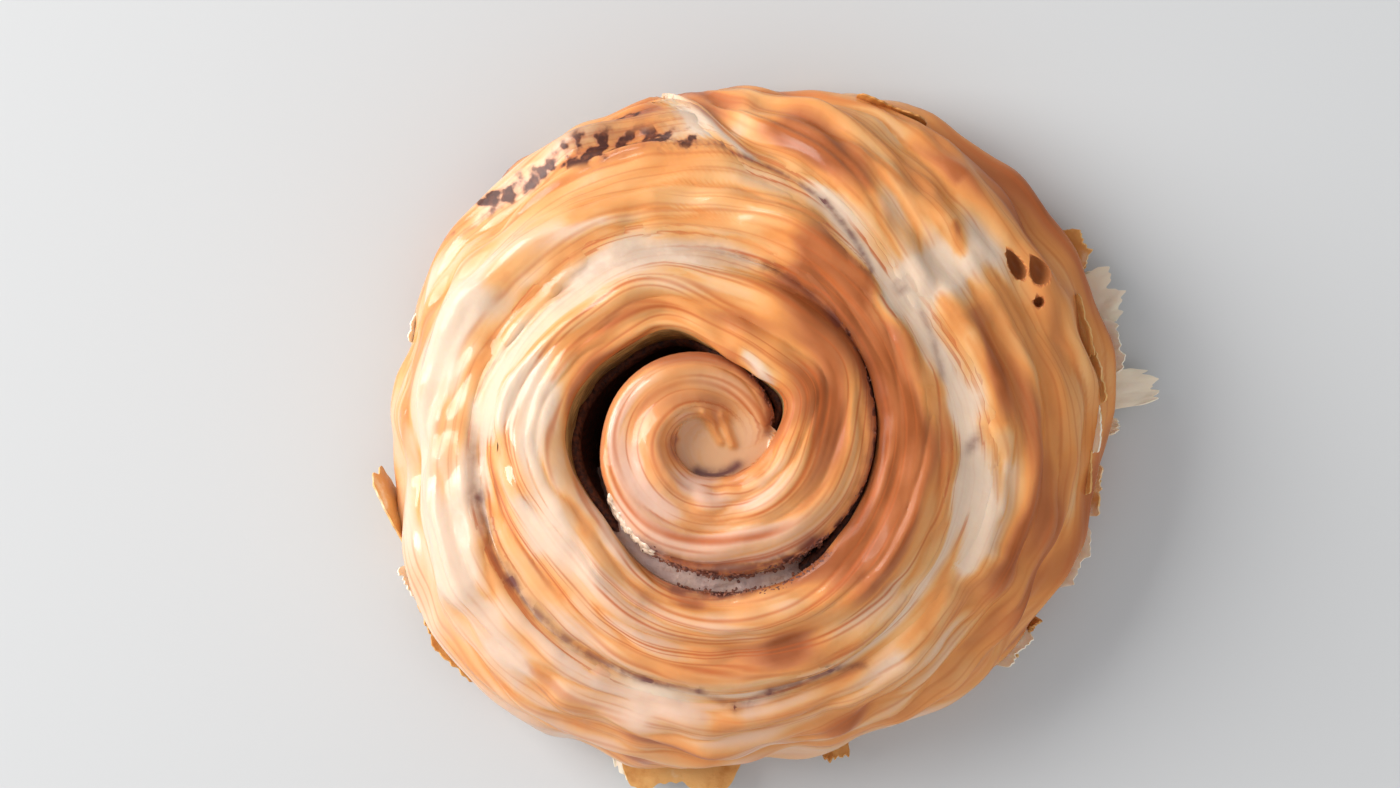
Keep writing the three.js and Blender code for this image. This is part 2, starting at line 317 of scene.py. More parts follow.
def facing(side, bearing):
    """1 at the bearing of one side, falling to 0 at the opposite one."""
    return 0.5 + 0.5 * np.cos(np.radians(bearing - side))


def distance_to_line(x, y, run, rise):
    """How far each place lies from a straight line that starts at 0, 0."""
    share = np.clip((x * run + y * rise) / (run**2 + rise**2), 0, 1)
    return np.hypot(x - share * run, y - share * rise)


def strokes(bearing, radius, drawn):
    """The summed strength of some strokes at each place."""
    total = np.zeros(np.broadcast(bearing, radius).shape)
    for from_bearing, from_radius, to_bearing, to_radius, half_width, strength in drawn:
        arc = math.radians(1) * (from_radius + to_radius) / 2
        x = angle_from(from_bearing, bearing) * arc
        run = (to_bearing - from_bearing) * arc
        distance = distance_to_line(x, radius - from_radius, run, to_radius - from_radius)
        total += swelling(distance, 0, half_width, strength)
    return total


def painted(bearing, radius, drawn):
    """The summed strength of some strokes, kept between 0 and 1."""
    return np.clip(strokes(bearing, radius, drawn), 0, 1)


def noise_at(x, y, z):
    """Gradient noise at many places, in coordinates that are already scaled to its size."""
    x, y = np.broadcast_arrays(x, y)
    values = [noise.noise((a, b, z)) for a, b in zip(x.ravel(), y.ravel())]
    return np.array(values).reshape(x.shape)


def relief_noise(along, across, kind):
    """The noise of one kind of relief at each place, before its depth."""
    _, length, width, layer = kind
    return noise_at(along / length, across / width, layer)


def in_columns(values, count):
    """Repeats one value for each row over all the columns."""
    return np.repeat(values[:, None], count, axis=1)


# The winding's shape

def outline_radius(turn):
    """How far the roll's outline lies from the heart."""
    angle = 2 * np.pi * turn
    dx, dy = np.sin(angle), -np.cos(angle)
    (a, b), (cx, cy) = OUTLINE_HALF, OUTLINE_CENTRE
    p = (dx / a) ** 2 + (dy / b) ** 2
    q = -(cx * dx / a**2 + cy * dy / b**2)
    r = (cx / a) ** 2 + (cy / b) ** 2 - 1
    waves = sum(size * np.sin(2 * np.pi * (count * turn + phase)) for count, size, phase in OUTLINE_WAVES)
    return (np.sqrt(q * q - p * r) - q) / p + waves


def outermost(turn):
    """0 where another turn lies outside this one, 1 where the strip has come out to the outline."""
    return smoothstep(turn, *LAST_SEAM)


def outer_radius(turn):
    seam = HEART_RADIUS + PITCH * turn + swelling(turn, *LEFT_BULGE) + swelling(turn, *RIGHT_DENT)
    return lerp(seam, outline_radius(turn), outermost(turn))


def seam_gap(turn):
    return lerp(OPEN_SEAM_GAP, SHUT_SEAM_GAP, smoothstep(turn, *SEAM_SHUTS))


def inner_radius(turn, level="top"):
    mouth = swellings(turn - 1, SEAM_MOUTHS) if level == "top" else 0
    beside_turn = outer_radius(turn - 1) + seam_gap(turn - 1) + mouth
    opened = smoothstep(turn, *PIT_OPENS[level])
    return lerp(PIT_LEAST_RADIUS, np.maximum(PIT_RADIUS, beside_turn), opened)


def dome_height(turn, radius):
    share = np.clip(radius / outline_radius(turn), 0, 1)
    dome = (1 - share**DOME_POWER) ** DOME_ROUNDNESS
    sink = swelling(radius, 0, HEART_SINK_RADIUS, HEART_SINK)
    return WIDEST_HEIGHT + (ROLL_HEIGHT - WIDEST_HEIGHT) * dome - sink


def edge_fall(distance, seam, width):
    """How far the crown falls at a distance from its edge beside a seam."""
    further = swellings(seam, WIDE_VALLEYS)
    shoulder = np.clip(1 - distance / np.minimum(EDGE_ROUND + further, EDGE_ROUND_MOST * width), 0, 1)
    lip_round = np.minimum(LIP_ROUND, LIP_ROUND_MOST * width)
    lip = np.clip(1 - distance / lip_round, 0, 1)
    fall = EDGE_FALL * lerp(HEART_EDGE_FALL, 1.0, smoothstep(seam, *HEART_EDGE_ENDS)) + further
    return fall * shoulder**2 + lip_round * (1 - np.sqrt(1 - lip**2))


def crown_height(turn, radius):
    """The smooth top of the strip, before its folds."""
    inner = inner_radius(turn)
    outer = outer_radius(turn)
    inside = edge_fall(radius - inner, turn - 1, outer - inner)
    outside = (1 - outermost(turn)) * edge_fall(outer - radius, turn, outer - inner)
    tail_drop = TAIL_DROP * smoothstep(turn, STRIP_END - TAIL_LENGTH, STRIP_END) ** 2
    start_drop = START_DROP * (1 - smoothstep(turn, STRIP_START, STRIP_START + START_LENGTH))
    return dome_height(turn, radius) - inside - outside - (tail_drop + start_drop)


def rim_height(turn):
    """The lower of the two rims beside the seam."""
    own_rim = crown_height(turn, outer_radius(turn))
    next_rim = crown_height(turn + 1, inner_radius(turn + 1))
    return np.minimum(own_rim, next_rim)


def evenly_along(line, count):
    """Points spaced evenly along a line of points."""
    steps = np.linalg.norm(np.diff(line, axis=0), axis=1)
    length = np.concatenate(([0], np.cumsum(steps)))
    wanted = np.linspace(0, length[-1], count)
    return np.stack([np.interp(wanted, length, line[:, axis]) for axis in range(line.shape[1])], axis=1)


def strip_section(turn):
    """The strip's outline at a place, as radius and height: inner wall, crown, outer wall and base."""
    inner = inner_radius(turn)
    outer = outer_radius(turn)
    inner_base = inner_radius(turn, "base")
    radius = lerp(inner, outer, (1 - np.cos(np.linspace(0, np.pi, CROWN_SAMPLES))) / 2)
    crown = evenly_along(np.stack([radius, crown_height(turn, radius)], axis=1), CROWN_POINTS)

    rise = np.linspace(0, 1, INNER_WALL_POINTS + 1)[:-1] ** WALL_SPACING
    wall_radius = lerp(inner_base, inner, rise**MOUTH_SLANT)
    inner_wall = np.stack([wall_radius, lerp(BASE_ROUND, crown[0, 1], rise)], axis=1)
    tuck = outermost(turn) * min(BASE_TUCK, BASE_TUCK_MOST * (outer - inner))
    fall = np.linspace(0, 1, OUTER_WALL_POINTS + 1)[:-1][::-1] ** WALL_SPACING
    outer_wall = np.stack([outer - tuck * (1 - fall) ** 2, lerp(BASE_ROUND, crown[-1, 1], fall)], axis=1)
    across = np.linspace(outer - tuck - BASE_ROUND, inner_base + BASE_ROUND, BASE_POINTS)
    base = np.stack([across, np.zeros(BASE_POINTS)], axis=1)
    return np.concatenate([inner_wall, crown, outer_wall, base])


def wind(turn, radius, height):
    """Places along the winding, as points in metres."""
    angle = 2 * np.pi * turn
    x = HEART[0] + np.sin(angle) * radius
    y = HEART[1] - np.cos(angle) * radius
    return np.stack([x, y, np.broadcast_to(height, x.shape)], axis=-1) * MM


def stations_along(start, end, step):
    """Turns spaced evenly along the length of the strip, and the length up to each of them."""
    turn = np.linspace(start, end, LENGTH_SAMPLES)
    radius = (inner_radius(turn) + outer_radius(turn)) / 2
    length = np.concatenate(([0], np.cumsum(2 * np.pi * radius[1:] * np.diff(turn))))
    wanted = np.linspace(0, length[-1], int(length[-1] / step) + 1)
    return np.interp(wanted, length, turn), wanted


# Making meshes

def deselect_all():
    if bpy.context.object and bpy.context.object.mode != "OBJECT":
        bpy.ops.object.mode_set(mode="OBJECT")
    bpy.ops.object.select_all(action="DESELECT")


def select_only(piece):
    deselect_all()
    bpy.context.view_layer.objects.active = piece
    piece.select_set(True)


def name_piece(piece, name):
    piece.name = name
    piece.data.name = name
    return piece


def rolled_grid(name, points):
    """A grid primitive rolled up to the given rows of points."""
    rows, columns = points.shape[:2]
    deselect_all()
    bpy.ops.mesh.primitive_grid_add(x_subdivisions=columns - 1, y_subdivisions=rows - 1, size=1)
    piece = name_piece(bpy.context.object, name)
    piece.data.vertices.foreach_set("co", points.reshape(-1))
    piece.data.update()
    return piece


def close_tube(piece):
    """Joins the long edges of a rolled-up grid and fills its two ends."""
    select_only(piece)
    bpy.ops.object.mode_set(mode="EDIT")
    bpy.ops.mesh.select_all(action="SELECT")
    bpy.ops.mesh.remove_doubles(threshold=MERGE_DISTANCE * MM)
    bpy.ops.mesh.fill_holes(sides=0)
    bpy.ops.mesh.select_all(action="SELECT")
    bpy.ops.mesh.normals_make_consistent(inside=False)
    bpy.ops.object.mode_set(mode="OBJECT")
    bpy.ops.object.shade_smooth_by_angle(angle=math.radians(SMOOTH_ANGLE))


def join_pieces(pieces, name):
    deselect_all()
    for piece in pieces:
        piece.select_set(True)
    bpy.context.view_layer.objects.active = pieces[0]
    bpy.ops.object.join()
    return name_piece(pieces[0], name)


def apply_modifier(piece, kind, **settings):
    select_only(piece)
    modifier = piece.modifiers.new(kind.lower(), kind)
    for key, value in settings.items():
        setattr(modifier, key, value)
    bpy.ops.object.modifier_apply(modifier=modifier.name)


def closed_ring(values):
    """Repeats the first column at the end, so that a ring of values closes."""
    return np.concatenate([values, values[:, :1]], axis=1)


def attribute(piece, name, values):
    """Stores a number or a vector for each point of a piece."""
    flat = np.ravel(values)
    one_each = flat.size == len(piece.data.vertices)
    kind, key = ("FLOAT", "value") if one_each else ("FLOAT_VECTOR", "vector")
    piece.data.attributes.new(name, kind, "POINT").data.foreach_set(key, flat)


def same_all_over(piece, **values):
    """Gives a piece values that are the same at each of its points."""
    for name, value in values.items():
        attribute(piece, name, np.full(len(piece.data.vertices), value))


def finish_piece(piece, material, node=None):
    piece.data.materials.clear()
    piece.data.materials.append(material)
    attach(piece, BODY)
    if node:
        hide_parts(node)
    return piece


# The dough

def across_strip(sections):
    """How far each point lies from the inner rim, measured across the strip along its surface."""
    steps = np.linalg.norm(np.diff(sections, axis=1), axis=2)
    across = np.concatenate((np.zeros((len(sections), 1)), np.cumsum(steps, axis=1)), axis=1)
    return across - across[:, [INNER_WALL_POINTS]]


def outward_directions(sections):
    """The direction out of the strip at each point, in the plane of its section."""
    ahead = np.gradient(sections, axis=1)
    normal = np.stack([-ahead[..., 1], ahead[..., 0]], axis=-1)
    return normal / (np.linalg.norm(normal, axis=-1, keepdims=True) + TINY)


def crown_share(turns, columns):
    """1 on the crown, falling off at its rims, and running on down the flank of the outermost turn."""
    crown_end = INNER_WALL_POINTS + CROWN_POINTS
    on_crown = np.zeros(columns)
    on_crown[INNER_WALL_POINTS:crown_end] = np.sin(np.linspace(0, np.pi, CROWN_POINTS)) ** RIM_SHARPNESS
    on_flank = np.zeros(columns)
    on_flank[INNER_WALL_POINTS + CROWN_POINTS // 2:crown_end + OUTER_WALL_POINTS] = FLANK_RELIEF
    return np.maximum(on_crown[None, :], outermost(turns)[:, None] * on_flank[None, :])


def lip_share(height):
    """1 at the inner rim, falling off down the wall of the seam."""
    below_rim = height[:, [INNER_WALL_POINTS]] - height
    on_wall = np.arange(height.shape[1]) <= INNER_WALL_POINTS
    return np.where(on_wall, swelling(below_rim, 0, LIP_CRUST, 1.0), 0)


def crown_relief(turn, radius, noises, creases):
    """How far each point rises out of the smooth crown."""
    rise = dict(noises)
    for name, crease in creases.items():
        rise[name] = np.abs(crease) ** CREASE_SHARPNESS
    on_edge = outermost(turn) * smoothstep(radius / outline_radius(turn), *FLANK_LUMPS)
    rise["flank_lump"] = noises["flank_lump"] * on_edge
    relief = sum(RELIEF[name][0] * values for name, values in rise.items())
    return relief + strokes(360 * turn, radius, RIDGES)


def wall_relief(along, height):
    """How far each point rises out of the smooth wall of a seam."""
    on_wall = np.zeros(height.shape[1])
    on_wall[:INNER_WALL_POINTS] = np.sin(np.linspace(0, np.pi, INNER_WALL_POINTS))
    return WALL_LAYERS[0] * relief_noise(along, height, WALL_LAYERS) * on_wall[None, :]


def film_milk(turn, radius, drift, fold, creases):
    """How milky the film is at each point.

    It gathers in patches, changes with the folds, and leaves the rims of the open seam bare. On the side
    that faces the window lamp its whiter patches and fold crests are partly painted sheen, and some strokes
    paint sheen and glints. Brown lines run along the creases, except under a pool.
    """
    bearing = 360 * turn
    thick = facing(THICK_BEARING, bearing)
    milk = lerp(*MILK_AND_SHEEN_SIDES, thick) + lerp(*DRIFT_AND_SHEEN_SIDES, thick) * drift + lerp(*FOLD_MILK_AND_HIGHLIGHT_SIDES, thick) * fold
    for seam, rim, bare in (
        (turn - 1, inner_radius(turn), INNER_RIM_BARE),
        (turn, outer_radius(turn), OUTER_RIM_BARE),
    ):
        milk -= swelling(radius, rim, RIM_WIDTH, bare) * (1 - smoothstep(seam, *SEAM_SHUTS))
    # The strokes include painted sheen and glints
    milk = np.clip(np.minimum(milk, FILM_MILK) + strokes(bearing, radius, MILK_AND_SHEEN), 0, 1)

    line = {name: swelling(crease, 0, *CREASE_LINES[name]) for name, crease in creases.items()}
    fine_lines = line["fine_crease"] * lerp(1.0, OUTSIDE_FINE_LINES, smoothstep(turn, *OUTSIDE_TURNS))
    lines = (line["crease"] + fine_lines) * (1 - POOL_HIDES * smoothstep(milk, *POOL_MILK))
    return np.maximum(milk - lines, np.minimum(milk, LINE_MILK))


def rounded_ends(turns, lengths, radius):
    """Draws both ends of the strip in towards its middle, so that they are round."""
    to_end = np.minimum(lengths / START_ROUND, (lengths[-1] - lengths) / TAIL_ROUND)
    rounded = np.sqrt(1 - (1 - np.clip(to_end, END_BLUNTNESS, 1)) ** 2)[:, None]
    middle = (inner_radius(turns) + outer_radius(turns))[:, None] / 2
    return lerp(middle, radius, rounded)


def make_dough(material):
    turns, lengths = stations_along(STRIP_START, STRIP_END, STATION_STEP)
    sections = np.array([strip_section(turn) for turn in turns])
    radius, height = np.moveaxis(sections, -1, 0)
    columns = sections.shape[1]
    turn = in_columns(turns, columns)
    bearing = 360 * turn
    along = in_columns(lengths, columns)
    across = across_strip(sections)

    noises = {name: relief_noise(along, across, kind) for name, kind in RELIEF.items()}
    creases = {name: noises[name] + bend * noises["dimple"] for name, bend in CREASE_BEND.items()}
    on_crown = crown_share(turns, columns)
    relief = crown_relief(turn, radius, noises, creases) * on_crown + wall_relief(along, height)
    raised = sections + outward_directions(sections) * relief[..., None]
    raised_radius = rounded_ends(turns, lengths, raised[..., 0])
    points = wind(turn, raised_radius, np.maximum(raised[..., 1], 0))
    dough = rolled_grid("dough_coil_baked", closed_ring(points))

    drift = sum(kind[0] * relief_noise(along, across, kind) for kind in DRIFTS)
    rosy = swelling(angle_from(ROSY_BEARING, bearing), 0, *ROSY_SIDE)
    for name, values in (
        ("strip", np.stack([along, across, np.zeros_like(along)], axis=-1)),
        ("milk", film_milk(turn, radius, drift, noises["fold"], creases)),
        ("cinnamon", painted(bearing, radius, CINNAMON) * smoothstep(height, *SMEAR_LOWEST)),
        # Seam traces, with painted shade over a pool and a painted shadow under the heart's lip
        ("trace_and_shade", painted(bearing, radius, TRACES_AND_PAINTED_SHADE)),
        ("wet", lerp(WET_LEAST, 1.0, facing(WET_BEARING, bearing))),
        ("rosy", np.maximum(rosy, 1 - smoothstep(turn, *ROSY_TURNS))),
        ("layered", lerp(1.0, OUTSIDE_LAYERS, smoothstep(turn, *OUTSIDE_TURNS))),
        ("shown", np.maximum(on_crown, lip_share(height))),
    ):
        attribute(dough, name, closed_ring(values))
    close_tube(dough)
    return finish_piece(dough, material, "dough_coil")


# The cinnamon layer

PASTE_TURNS = (0.17, 2.5)
PASTE_STEP = 1.2
PASTE_BASE = 1.0
PASTE_FOOT = 1.3
PASTE_BELOW_RIM = 1.2
PASTE_SINKS = ((0.62, 0.16, 14.0), (1.02, 0.12, 3.5))
PASTE_LUMP = (0.5, 3.0, 1.0, 0.5)  # given in the same way as the relief, but across it in turns
PASTE_WIDEST = 1.6
PASTE_IN_WALL = 0.2  # how far it goes into the turn outside it
PASTE_IN_TURN = 0.4  # and into the turn inside it
PASTE_SIDE = 4.0
PASTE_ROUND = 0.6
PASTE_FLAT = (0.6, 0.3)  # the shares of its width between which its top is flat


def make_paste(material):
    turns, lengths = stations_along(*PASTE_TURNS, PASTE_STEP)
    lumps = PASTE_LUMP[0] * relief_noise(lengths, turns, PASTE_LUMP)
    top = rim_height(turns) - PASTE_BELOW_RIM - swellings(turns, PASTE_SINKS) + lumps
    wall_base = inner_radius(turns + 1, "base") + PASTE_IN_WALL
    wall_rise = (top / rim_height(turns)) ** MOUTH_SLANT
    wall_top = lerp(wall_base, inner_radius(turns + 1) + PASTE_IN_WALL, wall_rise)
    width = np.minimum(wall_top - outer_radius(turns) + PASTE_IN_TURN, PASTE_WIDEST)
    base = np.full_like(top, PASTE_BASE)
    corners = (
        (wall_base - PASTE_FOOT, base),
        (wall_top - width, top - PASTE_SIDE),
        (wall_top - width, top - PASTE_ROUND),
        (wall_top - width * PASTE_FLAT[0], top),
        (wall_top - width * PASTE_FLAT[1], top),
        (wall_top, top - PASTE_ROUND / 2),
        (wall_base, base),
    )
    radius, height = (np.stack(values, axis=1) for values in zip(*corners))
    points = wind(in_columns(turns, len(corners)), radius, height)
    paste = rolled_grid("cinnamon_layer", closed_ring(points))
    close_tube(paste)
    return finish_piece(paste, material, "cinnamon_paste")


# The glaze that has run together. At a depth called CLEAR about a third of it is still clear

GROUND_SMOOTHING = 1
SLOPE_SMOOTHING = 3
GLAZE_THINNEST = 0.02
GLAZE_TUCK = 0.12
GLAZE_TUCK_SLOPE = 3
GLAZE_UNDERSIDE = 0.5
SEAM_GLAZE = (1.34, 2.53)
SEAM_GLAZE_STEP = 0.9
SEAM_GLAZE_COLUMNS = 29
SEAM_GLAZE_REACH = 1.5
SEAM_GLAZE_OVERLAP = 0.2
SEAM_GLAZE_GROWS = 0.08
SEAM_GLAZE_SHRINKS = 0.03
SEAM_GLAZE_MILKS = 0.1
SEAM_GLAZE_CLEAR = 0.8
SEAM_GLAZE_DEEPEST = 3.0
POOL_REACH = ((1.58, 0.13, 3.6), (1.80, 0.05, 0.8), (2.29, 0.13, 3.8))
POOL_SAG = ((1.58, 0.13, 1.2), (1.80, 0.05, 0.8), (2.29, 0.13, 0.6))
GAP_GLAZE = (0.79, 1.17)
GAP_GLAZE_STEP = 0.5
GAP_GLAZE_COLUMNS = 21
GAP_GLAZE_OVERLAP = 0.3
GAP_GLAZE_FADE = 0.09
GAP_GLAZE_SINK = 16.0  # how far below the rest its two ends lie
GAP_GLAZE_BELOW_RIM = 2.8
GAP_GLAZE_CLIMB = 0.9  # how far it climbs at both walls
GAP_GLAZE_CLIMB_POWER = 4
GAP_GLAZE_THICKNESS = 2.0
GAP_GLAZE_LUMP = (0.5, 1.8, 1.3, 2.2)  # given in the same way as the relief
HEART_POOL_ROWS = 32
HEART_POOL_COLUMNS = 97
HEART_POOL_EDGE = 8.4
HEART_POOL_RUN = (80, 22, 3.6)  # it runs further out at a bearing
HEART_POOL_LEVEL = 33.2
HEART_POOL_DEEPEST = 8.0
HEART_POOL_SOFTNESS = 0.4  # how gently it runs up the strip that slopes into it
HEART_POOL_CLIMBS = (75, 105, 245, 285)  # the bearings where that begins, and where it ends
HEART_POOL_STEEPEST = 20  # a rise beyond this many times the softness counts as this many
HEART_POOL_TUCK = 0.4
HEART_POOL_TUCKED = (0.8, 1)  # the shares of the way out between which its edge is tucked in
HEART_POOL_CLEAR = 0.6
HEART_POOL_MILK = 0.62
HEART_POOL_ROSY = 0.3
HEART_FINGERS = (
    # From one end to the other, from the heart, then half width and height
    (-1.3, 4.1, 1.4, -0.3, 0.75, 1.0),
    (1.6, 3.7, 3.2, -0.8, 0.75, 1.0),
)
FINGER_BARE = 0.3
HEART_POOL_RIM = (
    # Strokes of bare crust round the pool
    (200, 7.5, 231, 7.4, 0.6, -0.4),
    (231, 7.4, 270, 5.9, 0.6, -0.4),
    (270, 5.9, 310, 7.0, 0.6, -0.4),
)


def ground_under(piece, points, lowest):
    """The height of a piece's top under each point in millimetres, and its milk and strip there.

    A ray that falls down a seam counts as if it had stopped at the lowest height given.
    """
    heights = np.array(np.broadcast_to(lowest, points.shape[:2]))
    milk = np.zeros(points.shape[:2])
    strip = np.zeros(points.shape)
    milk_on = piece.data.attributes["milk"].data
    strip_on = piece.data.attributes["strip"].data
    for place in np.ndindex(heights.shape):
        x, y, _ = points[place]
        hit, where, _, face = piece.ray_cast(Vector((x, y, RAY_HEIGHT * MM)), Vector((0, 0, -1)))
        if hit:
            heights[place] = max(where.z / MM, heights[place])
            vertex = piece.data.polygons[face].vertices[0]
            milk[place] = milk_on[vertex].value
            strip[place] = strip_on[vertex].vector
    return heights, milk, strip


def smoothed(values, window):
    """Averages rows of values with their neighbours along the strip."""
    padded = np.pad(values, ((window, window), (0, 0)), mode="edge")
    rows = len(values)
    return sum(padded[shift:shift + rows] for shift in range(2 * window + 1)) / (2 * window + 1)


def pooled_share(depth, clear):
    """How far glaze of a depth has turned milky."""
    return 1 - np.exp(-np.clip(depth, 0, None) / clear)


def glaze_body(name, turn, radius, top, under, looks, axis=1):
    """Glaze between its top and its underside, which have the same looks.

    Along one axis the mesh runs over the top and then back along the underside.
    """
    def there_and_back(over, back):
        both = np.concatenate([over, np.flip(back, axis)], axis)
        return closed_ring(both) if axis == 1 else both

    turn, under = (np.broadcast_to(values, top.shape) for values in (turn, under))
    points = wind(there_and_back(turn, turn), there_and_back(radius, radius), there_and_back(top, under))
    glaze = rolled_grid(name, points)
    for look, values in looks.items():
        attribute(glaze, look, there_and_back(values, values))
    close_tube(glaze)
    return glaze


def make_seam_glaze(dough, material):
    """Glaze that spans the shut seam from one crown to the next and sags between them."""
    turns, _ = stations_along(*SEAM_GLAZE, SEAM_GLAZE_STEP)
    turn = in_columns(turns, SEAM_GLAZE_COLUMNS)
    first, last = SEAM_GLAZE
    reach = SEAM_GLAZE_REACH + swellings(turns, POOL_REACH)
    reach *= smoothstep(turns, first, first + SEAM_GLAZE_GROWS)
    reach *= 1 - smoothstep(turns, last - SEAM_GLAZE_SHRINKS, last)
    start = (outer_radius(turns) - reach - SEAM_GLAZE_OVERLAP)[:, None]
    end = (inner_radius(turns + 1) + reach + SEAM_GLAZE_OVERLAP)[:, None]
    share = np.linspace(0, 1, SEAM_GLAZE_COLUMNS)[None, :]
    radius = lerp(start, end, share)
    lowest = rim_height(turns)[:, None] - SEAM_GLAZE_DEEPEST
    ground, milk_under, strip = ground_under(dough, wind(turn, radius, 0), lowest)
    ground = smoothed(ground, GROUND_SMOOTHING)
    milk_under = smoothed(milk_under, GROUND_SMOOTHING)

    # A curve that leaves each crown along its slope
    width = end - start
    step = width / (SEAM_GLAZE_COLUMNS - 1)
    slope_in = smoothed(ground[:, [2]] - ground[:, [0]], SLOPE_SMOOTHING) / (2 * step)
    slope_out = smoothed(ground[:, [-1]] - ground[:, [-3]], SLOPE_SMOOTHING) / (2 * step)
    span = ((2 * share**3 - 3 * share**2 + 1) * ground[:, [0]]
            + (share**3 - 2 * share**2 + share) * width * slope_in
            + (3 * share**2 - 2 * share**3) * ground[:, [-1]]
            + (share**3 - share**2) * width * slope_out)
    rounded = np.sin(np.pi * share)
    sag = (swellings(turns, POOL_SAG)[:, None] * rounded**2).clip(0)
    tuck = GLAZE_TUCK * (1 - np.clip(GLAZE_TUCK_SLOPE * rounded, 0, 1))
    top = np.maximum(span - sag, ground + GLAZE_THINNEST) - tuck
    under = np.minimum(top, ground) - GLAZE_UNDERSIDE

    fresh = smoothstep(turn, first, first + SEAM_GLAZE_MILKS)
    looks = {
        "milk": np.maximum(fresh * pooled_share(top - ground, SEAM_GLAZE_CLEAR), milk_under),
        "cinnamon": painted(360 * turn, radius, CINNAMON),
        "trace_and_shade": painted(360 * turn, radius, TRACES_AND_PAINTED_SHADE),
        "strip": strip,
    }
    glaze = glaze_body("glaze_in_seam", turn, radius, top, under, looks)
    same_all_over(glaze, wet=0.6, shown=1.0, layered=1.0)
    return finish_piece(glaze, material)


def make_gap_glaze(material):
    """Glaze that lies deep in the open seam."""
    turns, lengths = stations_along(*GAP_GLAZE, GAP_GLAZE_STEP)
    turn = turns[:, None]
    share = np.linspace(0, 1, GAP_GLAZE_COLUMNS)[None, :]
    radius = lerp(outer_radius(turn) - GAP_GLAZE_OVERLAP, inner_radius(turn + 1) + GAP_GLAZE_OVERLAP, share)
    first, last = GAP_GLAZE
    fade = smoothstep(turn, first, first + GAP_GLAZE_FADE)
    fade *= 1 - smoothstep(turn, last - GAP_GLAZE_FADE, last)
    level = rim_height(turn) - GAP_GLAZE_BELOW_RIM - GAP_GLAZE_SINK * (1 - fade)
    lumps = GAP_GLAZE_LUMP[0] * relief_noise(lengths[:, None], radius, GAP_GLAZE_LUMP)
    top = level + GAP_GLAZE_CLIMB * (2 * share - 1) ** GAP_GLAZE_CLIMB_POWER + lumps
    glaze = glaze_body("glaze_in_gap", turn, radius, top, level - GAP_GLAZE_THICKNESS, {})
    same_all_over(glaze, milk=0.9, stain=0.95)
    return finish_piece(glaze, material)


def make_heart_glaze(dough, material):
    """A small pool in the heart, which coats the strip that slopes into it and two fingers of dough."""
    bearing = np.linspace(0, 360, HEART_POOL_COLUMNS)[None, :]
    share = np.linspace(0, 1, HEART_POOL_ROWS)[:, None]
    radius = share * (HEART_POOL_EDGE + swelling(bearing, *HEART_POOL_RUN))
    turn = np.broadcast_to(bearing / 360, radius.shape)
    lowest = HEART_POOL_LEVEL - HEART_POOL_DEEPEST
    ground, milk_under, strip = ground_under(dough, wind(turn, radius, 0), lowest)

    x = radius * np.sin(np.radians(bearing))
    y = -radius * np.cos(np.radians(bearing))
    fingers = np.zeros_like(x)
    for x0, y0, x1, y1, half_width, height in HEART_FINGERS:
        distance = distance_to_line(x - x0, y - y0, x1 - x0, y1 - y0)
        fingers += swelling(distance, 0, half_width, height)

    begin, begun, end, ended = HEART_POOL_CLIMBS
    climbs = smoothstep(bearing, begin, begun) * (1 - smoothstep(bearing, end, ended))
    rise = (ground - HEART_POOL_LEVEL) / HEART_POOL_SOFTNESS
    rise = np.clip(rise, -HEART_POOL_STEEPEST, HEART_POOL_STEEPEST)
    coated = HEART_POOL_SOFTNESS * np.log1p(np.exp(rise))
    tuck = HEART_POOL_TUCK * smoothstep(share, *HEART_POOL_TUCKED)
    top = HEART_POOL_LEVEL + climbs * (coated - tuck) + fingers
    under = np.minimum(top, ground) - GLAZE_UNDERSIDE

    pooled = pooled_share(top - ground, HEART_POOL_CLEAR)
    milk = lerp(milk_under, HEART_POOL_MILK, pooled) - FINGER_BARE * np.clip(fingers, 0, 1)
    looks = {
        "milk": np.clip(milk + strokes(bearing, radius, HEART_POOL_RIM), 0, 1),
        "trace_and_shade": painted(bearing, radius, TRACES_AND_PAINTED_SHADE),
        "layered": 1 - pooled,
        "rosy": lerp(1.0, HEART_POOL_ROSY, pooled),
        "strip": strip,
    }
    glaze = glaze_body("glaze_in_heart", turn, radius, top, under, looks, axis=0)
    same_all_over(glaze, wet=0.9, shown=1.0, cinnamon=0.0)
    return finish_piece(glaze, material)


# Grains and drops along the rims of the open seam. Each row of them has the turns where it begins and
# ends, its share of the way across the seam, how far out of the line they lie, how many there are, and
# their least and greatest radius.

GRAIN_ROWS = (
    (0.91, 1.14, 0.0, 0.35, 420, 0.12, 0.34),
    (0.96, 1.13, 1.0, 0.28, 240, 0.12, 0.3),
    (1.13, 1.40, 0.0, 0.22, 120, 0.1, 0.28),
    (0.27, 0.42, 0.0, 0.25, 70, 0.12, 0.34),
)
DROP_ROWS = (
    (0.832, 0.925, -0.05, 0.22, 120, 0.4, 0.75),
)
GRAIN_MELT = (0.07, 4)  # how finely lumps that touch are melted together, and how often smoothed
DROP_MELT = (0.12, 24)
LUMP_SEED = 5
LUMP_SQUASH = (0.7, 1.2)
LUMP_SINK = 0.5  # the share of a lump's radius that is sunk in the rim
LUMP_FLATNESS = 0.5
LUMP_LOWEST = 1.5  # a lump lies no further below the rim than this


